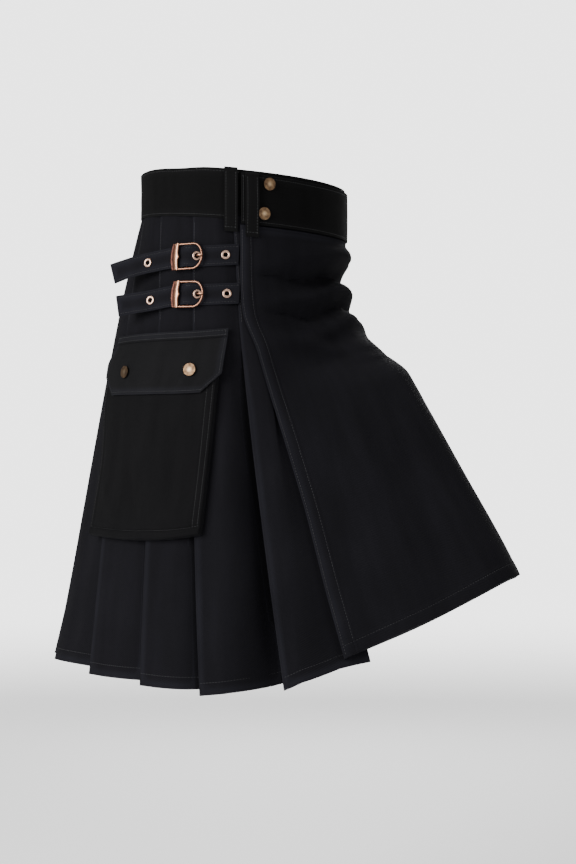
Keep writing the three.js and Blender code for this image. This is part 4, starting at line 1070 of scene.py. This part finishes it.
def flap_point(side, across, down, lift=0.0):
    """A point of the flap, from its front edge to its back edge and from its seam to its hem."""
    top = mix(*FLAP_TOP, across)
    fall = mix(top, mix(*FLAP_FOOT, across), down)
    low = clamp(1 - (1 - down) * (FLAP_FOOT[0] - FLAP_TOP[0]) / FLAP_CHAMFER_FALL)
    front = mix(*FLAP_FRONT, down) - FLAP_CHAMFER_TURN * low
    back = mix(*FLAP_BACK, down) + FLAP_CHAMFER_TURN * low
    stand = sum(between(FLAP_RISE, down + shift) for shift in (-0.06, 0, 0.06)) / 3
    from_side = min(across, 1 - across) * FLAP_WIDE
    from_edge = min(from_side, (1 - down) * FLAP_TALL)
    from_top = down * FLAP_TALL
    strip = 0.9 * (1 - ease((from_top - FLAP_STRIP) / 1.2)) - 1.3 * swell_at(from_top, FLAP_GROOVE, 1.1)
    seam = 0.4 * swell_at(from_edge, FLAP_SEWN, 0.7) + 0.4 * swell_at(from_edge, 0, 0.8)
    sag = 0.9 * math.sin(math.pi * across) * math.sin(math.pi * clamp(down))
    sag += 0.5 * math.sin(5 * math.pi * across) * down
    point, _, _, normal, _ = cloth_frame(side_turn(side, mix(front, back, across)), fall)
    return point + normal * (stand + strip - seam + sag * 0.6 + lift)


flap_columns = edge_shares(FLAP_STOPS, FLAP_WIDE, 3.6)
flap_rows = edge_shares(FLAP_STOPS, FLAP_TALL, 3)
flap_drill = drill_cloth(
    "flap_drill",
    deep=(0.0033, 0.0033, 0.0035),
    lit=(0.008, 0.0079, 0.0086),
    rim_light=(0.017, 0.0172, 0.023),
)
for side in ("right", "left"):
    grid = [[flap_point(side, x, y) for x in flap_columns] for y in flap_rows]
    flap_cloth = lay_cloth("flap_cloth_" + side, grid, DOUBLE_CLOTH)
    dress(flap_cloth, flap_drill, "drill", "flap_" + side)

    def flap_seam(places):
        return seam_on(lambda x, y, lift: flap_point(side, x, y, lift), places, DOUBLE_CLOTH / 2)

    rim_x, rim_y = FLAP_SEWN / FLAP_WIDE, 1 - FLAP_SEWN / FLAP_TALL
    strip_steps = steps(0.012, 0.988, 110)
    flap_lines = [flap_seam([(x, inset / FLAP_TALL) for x in strip_steps]) for inset in (2.2, 7.6)]
    flap_lines.append(flap_seam([(rim_x, y) for y in steps(0.03, rim_y, 50)]))
    flap_lines.append(flap_seam([(1 - rim_x, y) for y in steps(0.03, rim_y, 50)]))
    flap_lines.append(flap_seam([(x, rim_y) for x in steps(rim_x, 1 - rim_x, 110)]))
    flap_stitches = sew("flap_stitches_" + side, flap_lines)

# Two straps of doubled drill close over each hip. Each runs back from the apron's edge, through its
# buckle, and off the hip as a stiff free tail. Copper-toned eyelets are set in round holes.
STRAP_WIDTH = 25
STRAP_SPACING = 1.6
TAIL_FROM = -12  # behind this the stiff strap runs straight on, off the cloth
# the place of each buckle, the fall per degree along the strap, where it starts and ends, how the
# tail sinks and curves down, and the place of its back eyelet
STRAPS = [
    ("upper", -8.9, 0.0885, -0.00042, 16.5, -108, (0.038, 0.00114), -56),
    ("lower", -7.9, 0.1705, -0.00028, 15.7, -99, (0.17, -0.00025), -51.5),
]
FRONT_EYELETS = {"front": 44, "middle": 11.6}
STRAP_RISE = [
    (-24, 5.8),
    (-8, 5.8),
    (-5.6, 7.9),
    (-3, 10.3),
    (0, 11),
    (3.9, 10.5),
    (5, 9.8),
    (16.8, 4.8),
    (24, 4.6),
]
STRAP_HOLE = 3.5
STRAP_EDGES = [-12.5, -12.1, -11.4, -10.6, -9.8, -9, -7.4, -5.6, -3.8, -1.9, 0]
STRAP_EDGES += [-across for across in reversed(STRAP_EDGES[:-1])]
STRAP_SEWN, STRAP_INSET = 9.8, 2.7  # the stitches' place from the middle line and from the edge


def rigid_frame(point, ahead, out):
    """A flat frame at a spot of the hip: along towards the front, across upwards, and standing out."""
    up = out.cross(ahead).normalized()
    if up.z < 0:
        up.negate()
    along = (ahead - out * ahead.dot(out)).normalized()
    frame = Matrix((along, up, out)).transposed().to_4x4()
    frame.translation = point
    return frame


def hip_places(side, turn, fall, slope):
    """Two ways to place things near a spot on the hip: along the curved cloth, and in a flat frame."""
    point, ahead, down, normal, per_degree = cloth_frame(side_turn(side, turn), fall)
    above, below = (cloth_frame(side_turn(side, turn), fall + d)[0] for d in (-0.01, 0.01))
    length = (above - below).length / 0.02
    lean = down.dot(ahead) * (1 if side == "right" else -1)

    def curved(along, across, stand):
        degrees_on = (along + lean * across) / per_degree
        place = side_turn(side, turn + degrees_on)
        spot, _, _, out, _ = cloth_frame(place, fall + slope * degrees_on - across / length)
        return spot + out * stand

    forward = (curved(1, 0, 0) - curved(-1, 0, 0)).normalized()
    return curved, rigid_frame(point, forward, normal), per_degree


def strap_places(curved, tail, tail_path):
    """Places on a strap, which follows the cloth from the front and then runs off it as a stiff tail."""
    drop, bend = tail_path
    root = curved(TAIL_FROM, 0, 0)
    ahead = (curved(TAIL_FROM + 0.5, 0, 0) - curved(TAIL_FROM - 0.5, 0, 0)).normalized()
    up = (curved(TAIL_FROM, 1, 0) - root).normalized()
    out = ahead.cross(up).normalized()
    if out.dot(curved(TAIL_FROM, 0, 1) - root) < 0:
        out.negate()

    def place(along, across, stand):
        if along >= TAIL_FROM:
            return curved(along, across, stand)
        beyond = TAIL_FROM - along
        lean = math.atan(drop + 2 * bend * beyond) * ease(beyond / 10)
        slant = 0.2 * ease(1 - (along - tail) / 25)
        back = beyond + (math.sin(lean) + slant) * across
        rise = math.cos(lean) * across - drop * beyond - bend * beyond**2
        return root - ahead * back + up * rise + out * stand

    return place


def strap_stand(along):
    return sum(between(STRAP_RISE, along + shift) for shift in (-0.7, 0, 0.7)) / 3


# An eyelet is a rolled rim with a short barrel through the cloth. It is modelled once, flat at the
# origin, and copied into every hole.
bpy.ops.mesh.primitive_torus_add(
    major_radius=4.1 * MM, minor_radius=1.5 * MM, major_segments=40, minor_segments=16
)
eyelet_pattern = bpy.context.object
rim = eyelet_pattern.data.attributes.new("rim", "FLOAT", "POINT")
for corner in eyelet_pattern.data.vertices:
    radius, height = math.hypot(corner.co.x, corner.co.y) / MM, corner.co.z / MM
    # the top of the rolled rim gets the lowest rim value and so the palest colour: partly rubbed polish,
    # partly a painted highlight
    rim.data[corner.index].value = 1.2 - height + 0.5 * abs(radius - 3.9)
    corner.co.z = (1.35 + 0.72 * height) * MM
    if height < -0.1:
        corner.co.z = (0.95 if radius > 3.6 else -0.9) * MM
bpy.ops.object.shade_smooth()


def metal(name, dark, body, bright, patch_scale):
    """Plated brass with a satin polish: darker in the hollows and stained patches, paler on raised and rubbed
    edges, with fine scratches; the paler colour on the highest surfaces is partly rubbed polish and partly a
    painted highlight. Its rim attribute is near zero on the highest edges."""
    finish, shader, wire = new_finish(name)
    place = wire.node("ShaderNodeTexCoord", {}, output=3)
    rim = wire.node("ShaderNodeAttribute", {}, {"attribute_name": "rim"}, output=2)
    stain = wire.node("ShaderNodeTexNoise", {"Vector": place, "Scale": patch_scale, "Detail": 4.0})
    grain = wire.node("ShaderNodeTexNoise", {"Vector": place, "Scale": 2600.0, "Detail": 2.0})
    scratch_map = wire.node(
        "ShaderNodeMapping",
        {"Vector": place, "Scale": (300, 2400, 900), "Rotation": (0.3, 0.5, 0.8)},
    )
    scratch = wire.node("ShaderNodeTexNoise", {"Vector": scratch_map, "Scale": 1.0, "Detail": 3.0})
    tone = (stain - 0.32) * 2.2 + (grain - 0.5) * 0.4
    # paler towards the highest surfaces: partly rubbed polish, partly a painted highlight
    polish_and_highlight = wire.maths("MAXIMUM", 1 - rim * 0.8, 0.0) * (0.45 + scratch * 0.8)
    colour = polish_and_highlight.tint(tone.tint((*dark, 1), (*body, 1)), (*bright, 1))
    wire.feed(colour, shader, "Base Color")
    wire.feed(0.36 - polish_and_highlight * 0.14 + scratch * 0.1, shader, "Roughness")
    relief = scratch + grain * 0.5
    bump = wire.node("ShaderNodeBump", {"Strength": 0.25, "Distance": 0.0002, "Height": relief})
    wire.feed(bump, shader, "Normal")
    shader.inputs["Metallic"].default_value = 0.92
    return finish


copper = metal("copper_plate", (0.03, 0.011, 0.008), (0.11, 0.042, 0.028), (0.46, 0.24, 0.15), 420.0)
ring_copper = metal("copper_eyelet", (0.06, 0.028, 0.018), (0.24, 0.13, 0.09), (0.62, 0.42, 0.32), 420.0)


def fit_copy(pattern, name, place, finish, slot, node):
    """A copy of a pattern with its own mesh, set in a frame of the hip, standing for a CAD node."""
    copy = bpy.data.objects.new(name, pattern.data.copy())
    in_metres = place.copy()
    in_metres.translation = place.translation * MM
    copy.data.transform(in_metres)
    if place.determinant() < 0:
        copy.data.flip_normals()
    bpy.context.collection.objects.link(copy)
    dress(copy, finish, slot, node)
    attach(copy, "root")
    return copy


hip_frames = {}
for side in ("right", "left"):
    for level, turn, fall, slope, front_turn, tail, tail_path, back_eyelet in STRAPS:
        name = f"{side}_{level}"
        curved, flat_frame, per_degree = hip_places(side, turn, fall, slope)
        hip_frames[name] = (curved, flat_frame)
        place = strap_places(curved, tail, tail_path)
        front = (front_turn - turn) * per_degree
        alongs = steps(tail, front, round((front - tail) / STRAP_SPACING))
        last = len(alongs) - 1

        def strap_point(along, across, lift=0.0):
            inset = min(along - tail, front - along, STRAP_WIDTH / 2 - abs(across))
            dent = 0.35 * swell_at(inset, STRAP_INSET, 0.6) + 0.35 * swell_at(inset, 0, 0.6)
            curl = 0.5 * math.sin(along * 0.11 + turn) * ease((TAIL_FROM - along) / 20)
            return place(along, across, strap_stand(along) - dent + curl + lift)

        grid = [[strap_point(along, across) for along in alongs] for across in STRAP_EDGES]
        strap_cloth = lay_cloth("strap_cloth_" + name, grid, DOUBLE_CLOTH)
        for spot, along in [*FRONT_EYELETS.items(), ("back", back_eyelet)]:
            stand = strap_stand(along)
            before, after = along - 0.5, along + 0.5
            ahead = place(after, 0, strap_stand(after)) - place(before, 0, strap_stand(before))
            up = place(along, 1, stand) - place(along, 0, stand)
            out = ahead.cross(up).normalized()
            if out.dot(place(along, 0, stand + 1) - place(along, 0, stand)) < 0:
                out.negate()
            ring = rigid_frame(place(along, 0, stand), ahead.normalized(), out)
            lay_down_selection()
            bpy.ops.mesh.primitive_cylinder_add(vertices=32, radius=STRAP_HOLE * MM, depth=8 * MM)
            punch = bpy.context.object
            in_metres = ring.copy()
            in_metres.translation = ring.translation * MM
            punch.data.transform(in_metres)
            if ring.determinant() < 0:
                punch.data.flip_normals()
            bpy.context.view_layer.objects.active = strap_cloth
            hole = strap_cloth.modifiers.new("punched_hole", "BOOLEAN")
            hole.object = punch
            hole.operation = "DIFFERENCE"
            bpy.ops.object.modifier_apply(modifier=hole.name)
            bpy.data.objects.remove(punch)
            ring_name = f"eyelet_ring_{name}_{spot}"
            fit_copy(eyelet_pattern, ring_name, ring, ring_copper, "copper", f"eyelet_{name}_{spot}")
        dress(strap_cloth, black_drill, "drill", "strap_" + name)

        def strap_seam(places):
            return seam_on(strap_point, places, DOUBLE_CLOTH / 2)

        sewn_alongs = [along for along in alongs if tail + STRAP_INSET <= along <= front - 1]
        strap_lines = []
        for edge in (-STRAP_SEWN, STRAP_SEWN):
            strap_lines.append(strap_seam([(along, edge) for along in sewn_alongs]))
        tail_steps = steps(-STRAP_SEWN, STRAP_SEWN, 14)
        strap_lines.append(strap_seam([(tail + STRAP_INSET, across) for across in tail_steps]))
        strap_stitches = sew("strap_stitches_" + name, strap_lines)
        (front - tail) * MM
bpy.data.objects.remove(eyelet_pattern)

# Each buckle hangs on a tab of folded drill, wrapped round its middle bar and sewn to the pleats.
TAB_CLOTH = 1.2
BAR_PLANE, BAR_DROP = 8.7, 1.9
TAB_EDGES = [-10.5, -10.1, -9.4, -8, -5, -2, 2, 5, 8, 9.4, 10.1, 10.5]
for name, (curved, flat_frame) in hip_frames.items():
    tab_path = smooth_path(
        [
            (-13.5, CLOTH_TOP + SEAM_GAP + 0.65),
            (-4, CLOTH_TOP + SEAM_GAP + 0.7),
            (-0.9, 4.8),
            (1.4, 5.2),
            (2.15, BAR_PLANE - BAR_DROP),
            (1.4, 8.4),
            (-0.5, 8.9),
            (-1.9, 7.9),
        ],
        40,
    )

    def tab_point(along, across, stand):
        if along < -2 and stand < 6:
            return curved(along, across, stand)
        return flat_frame @ Vector((along, across, stand))

    grid = [[tab_point(along, across, stand) for across in TAB_EDGES] for along, stand in tab_path]
    tab_cloth = lay_cloth("tab_cloth_" + name, grid, TAB_CLOTH)
    dress(tab_cloth, black_drill, "drill", "buckle_tab_" + name)

# The buckle is a D of cast wire, curved to the front, with a broad bevelled heel bar at the back that
# has a small hump at the middle of its inner edge, and a thin middle bar that the prong turns on.
BUCKLE_SIDE = 15.05
WIRE_RADIUS = 1.3
HEEL_BACK, HEEL_FRONT = -18.9, -10.4
HEEL_BOW, HEEL_INNER_BOW = 2.4, 1.2
HEEL_HUMP = 1.8
D_FROM, D_ROUND = 8, 12.3


def wire_bar(name, path, radius, closed=False):
    """A round bar bent along points, made from a curve and turned into a mesh."""
    lay_down_selection()
    curve = bpy.data.curves.new(name, "CURVE")
    curve.dimensions = "3D"
    curve.bevel_depth = radius * MM
    curve.bevel_resolution = 5
    curve.use_fill_caps = not closed
    spline = curve.splines.new("POLY")
    spline.points.add(len(path) - 1)
    for point, place in zip(spline.points, path):
        point.co = (*(Vector(place) * MM), 1)
    spline.use_cyclic_u = closed
    made = bpy.data.objects.new(name, curve)
    bpy.context.collection.objects.link(made)
    made.select_set(True)
    bpy.context.view_layer.objects.active = made
    bpy.ops.object.convert(target="MESH")
    return bpy.context.object


def mark_polish_and_highlight(piece, plane, depth):
    """Marks how far each point lies below the highest surface, for the metal's rubbed polish and the painted
    highlight on its highest parts.
    """
    rim = piece.data.attributes.new("rim", "FLOAT", "POINT")
    for corner in piece.data.vertices:
        rim.data[corner.index].value = max(0, plane - corner.co.z / MM) / depth * 2


half_turn = steps(-math.pi / 2, math.pi / 2, 28)
arc = [(D_FROM + D_ROUND * math.cos(a), BUCKLE_SIDE * math.sin(a), BAR_PLANE) for a in half_turn]
straight = [(x, BUCKLE_SIDE, BAR_PLANE) for x in steps(D_FROM, -15.5, 8)[1:]]
straight += [(x, -BUCKLE_SIDE, BAR_PLANE) for x in steps(-15.5, D_FROM, 8)[:-1]]
buckle_pattern = wire_bar("buckle_pattern", arc + straight, WIRE_RADIUS, closed=True)
pin = wire_bar("pin", [(0, -BUCKLE_SIDE, BAR_PLANE - BAR_DROP), (0, BUCKLE_SIDE, BAR_PLANE - BAR_DROP)], 1.2)

lay_down_selection()
bpy.ops.mesh.primitive_cube_add(size=1)
heel = bpy.context.object
bpy.ops.object.mode_set(mode="EDIT")
bpy.ops.mesh.subdivide(number_cuts=15)
bpy.ops.object.mode_set(mode="OBJECT")
for corner in heel.data.vertices:
    x, y, z = corner.co
    share = x + 0.5
    across = y * (BUCKLE_SIDE * 2 + 2 * WIRE_RADIUS)
    hump = swell_at(across, 0, 2.2) * ease((share - 0.6) / 0.4)
    top = 0.2 + 1.9 * ease((share - 0.1) / 0.72) - 0.6 * ease((share - 0.88) / 0.12)
    bow = 1 - (2 * y) ** 2
    outer, inner = HEEL_BACK - HEEL_BOW * bow, HEEL_FRONT - HEEL_INNER_BOW * bow
    corner.co.x = (mix(outer, inner, share) + HEEL_HUMP * hump) * MM
    corner.co.y = across * (1 - 0.03 * (1 - share)) * MM
    corner.co.z = (BAR_PLANE + mix(-1.4, top, z + 0.5)) * MM
round_edges(heel, "cast_edge", 0.5, 50)
for part in (heel, pin):
    bpy.context.view_layer.objects.active = buckle_pattern
    joined = buckle_pattern.modifiers.new("cast_joint", "BOOLEAN")
    joined.object = part
    joined.operation = "UNION"
    bpy.ops.object.modifier_apply(modifier=joined.name)
    bpy.data.objects.remove(part)
lay_down_selection()
buckle_pattern.select_set(True)
bpy.ops.object.shade_smooth_by_angle(angle=math.radians(40))
# the top of the D's wire and the heel's ridge are paler: partly rubbed polish, partly a painted highlight
mark_polish_and_highlight(buckle_pattern, BAR_PLANE + WIRE_RADIUS + 0.5, 1.7)

# The prong is hooked round the middle bar, comes up through the strap's eyelet, and rests on the D.
PRONG_POINTS = [(4.6, 5.2), (7.4, 5), (9.4, 5.1), (11.4, 6.6), (13.6, 8.8)]
PRONG_POINTS += [(15.4, 10.7), (17.4, 11.9), (19.6, 12), (22.3, 11.5)]
prong_path = smooth_path(PRONG_POINTS, 30)
prong_pattern = wire_bar("prong_pattern", [(along, 0, stand) for along, stand in prong_path], 1.15)
for corner in prong_pattern.data.vertices:
    near_tip = clamp((corner.co.x / MM - 16) / 6.3)
    corner.co.y *= 1 + 0.25 * math.sin(math.pi * near_tip) - 0.35 * near_tip**3
bpy.ops.object.shade_smooth_by_angle(angle=math.radians(50))
# the prong's highest part is paler: partly rubbed polish, partly a painted highlight
mark_polish_and_highlight(prong_pattern, 13.2, 5)
for name, (curved, flat_frame) in hip_frames.items():
    fit_copy(buckle_pattern, "buckle_" + name, flat_frame, copper, "copper", "buckle_frame_" + name)
    fit_copy(prong_pattern, "prong_" + name, flat_frame, copper, "copper", "buckle_prong_" + name)
bpy.data.objects.remove(buckle_pattern)
bpy.data.objects.remove(prong_pattern)

# Snap caps in antique brass: a pressed dome with a rolled rim and a shallow ring round its middle.
SNAP_RADIUS = 7.5
# the rings of the dome from its rim inwards: width and rise
SNAP_RINGS = [(0.5, 0.8), (0.8, 0.55), (1.0, 0.4), (1.0, 0.26)]
SNAP_RINGS += [(0.5, -0.12), (0.5, 0.14), (1.1, 0.12), (1.1, 0.05)]
FLAP_SNAPS = [("front", 0.2, 0.63), ("back", 0.735, 0.645)]
BAND_SNAPS = [
    ("right_upper", 33, 20),
    ("right_lower", 30.3, -16),
    ("left_upper", 147, 20),
    ("left_lower", 149.7, -16),
]
lay_down_selection()
bpy.ops.mesh.primitive_cylinder_add(
    vertices=48, radius=SNAP_RADIUS * MM, depth=0.7 * MM, location=(0, 0, 0.35 * MM)
)
snap_pattern = bpy.context.object
bpy.ops.object.transform_apply(location=True)
for face in snap_pattern.data.polygons:
    face.select = face.normal.z > 0.9
bpy.ops.object.mode_set(mode="EDIT")
bpy.ops.mesh.select_mode(type="FACE")
for inset, rise in SNAP_RINGS:
    bpy.ops.mesh.inset(thickness=inset * MM)
    bpy.ops.transform.translate(value=(0, 0, rise * MM))
bpy.ops.mesh.poke()
bpy.ops.object.mode_set(mode="OBJECT")
bpy.ops.object.shade_smooth_by_angle(angle=math.radians(60))
rim = snap_pattern.data.attributes.new("rim", "FLOAT", "POINT")
for corner in snap_pattern.data.vertices:
    radius, height = math.hypot(corner.co.x, corner.co.y) / MM, corner.co.z / MM
    # painted highlight: a ring across the top of the dome, about 2 mm from its middle, gets the lowest rim
    # value and the palest colour; the rest of the cap keeps the darker tone
    rim.data[corner.index].value = 0.1 + 0.3 * abs(radius - 2) if height > 1.4 else 3
brass = metal("antique_brass", (0.04, 0.022, 0.012), (0.145, 0.09, 0.047), (0.5, 0.38, 0.24), 260.0)


def fit_snap(name, middle, ahead, out):
    place = rigid_frame(middle + out * SEAM_GAP, ahead, out)
    fit_copy(snap_pattern, "cap_" + name, place, brass, "brass", "snap_" + name)


for side in ("right", "left"):
    for name, across, down in FLAP_SNAPS:
        middle = flap_point(side, across, down, DOUBLE_CLOTH / 2)
        ahead = (flap_point(side, across - 0.03, down) - flap_point(side, across + 0.03, down)).normalized()
        fall_line = flap_point(side, across, down + 0.06) - flap_point(side, across, down - 0.06)
        out = fall_line.cross(ahead).normalized()
        if out.dot(flap_point(side, across, down, 2) - flap_point(side, across, down)) < 0:
            out.negate()
        fit_snap(f"flap_{side}_{name}", middle, ahead, out)
for name, turn, height in BAND_SNAPS:
    middle = band_point(turn - 360, height, BAND_CLOTH / 2)
    ahead = (band_point(turn - 359, height) - band_point(turn - 361, height)).normalized()
    up = band_point(turn - 360, height + 1) - band_point(turn - 360, height - 1)
    fit_snap("band_" + name, middle, ahead, ahead.cross(up).normalized())
bpy.data.objects.remove(snap_pattern)
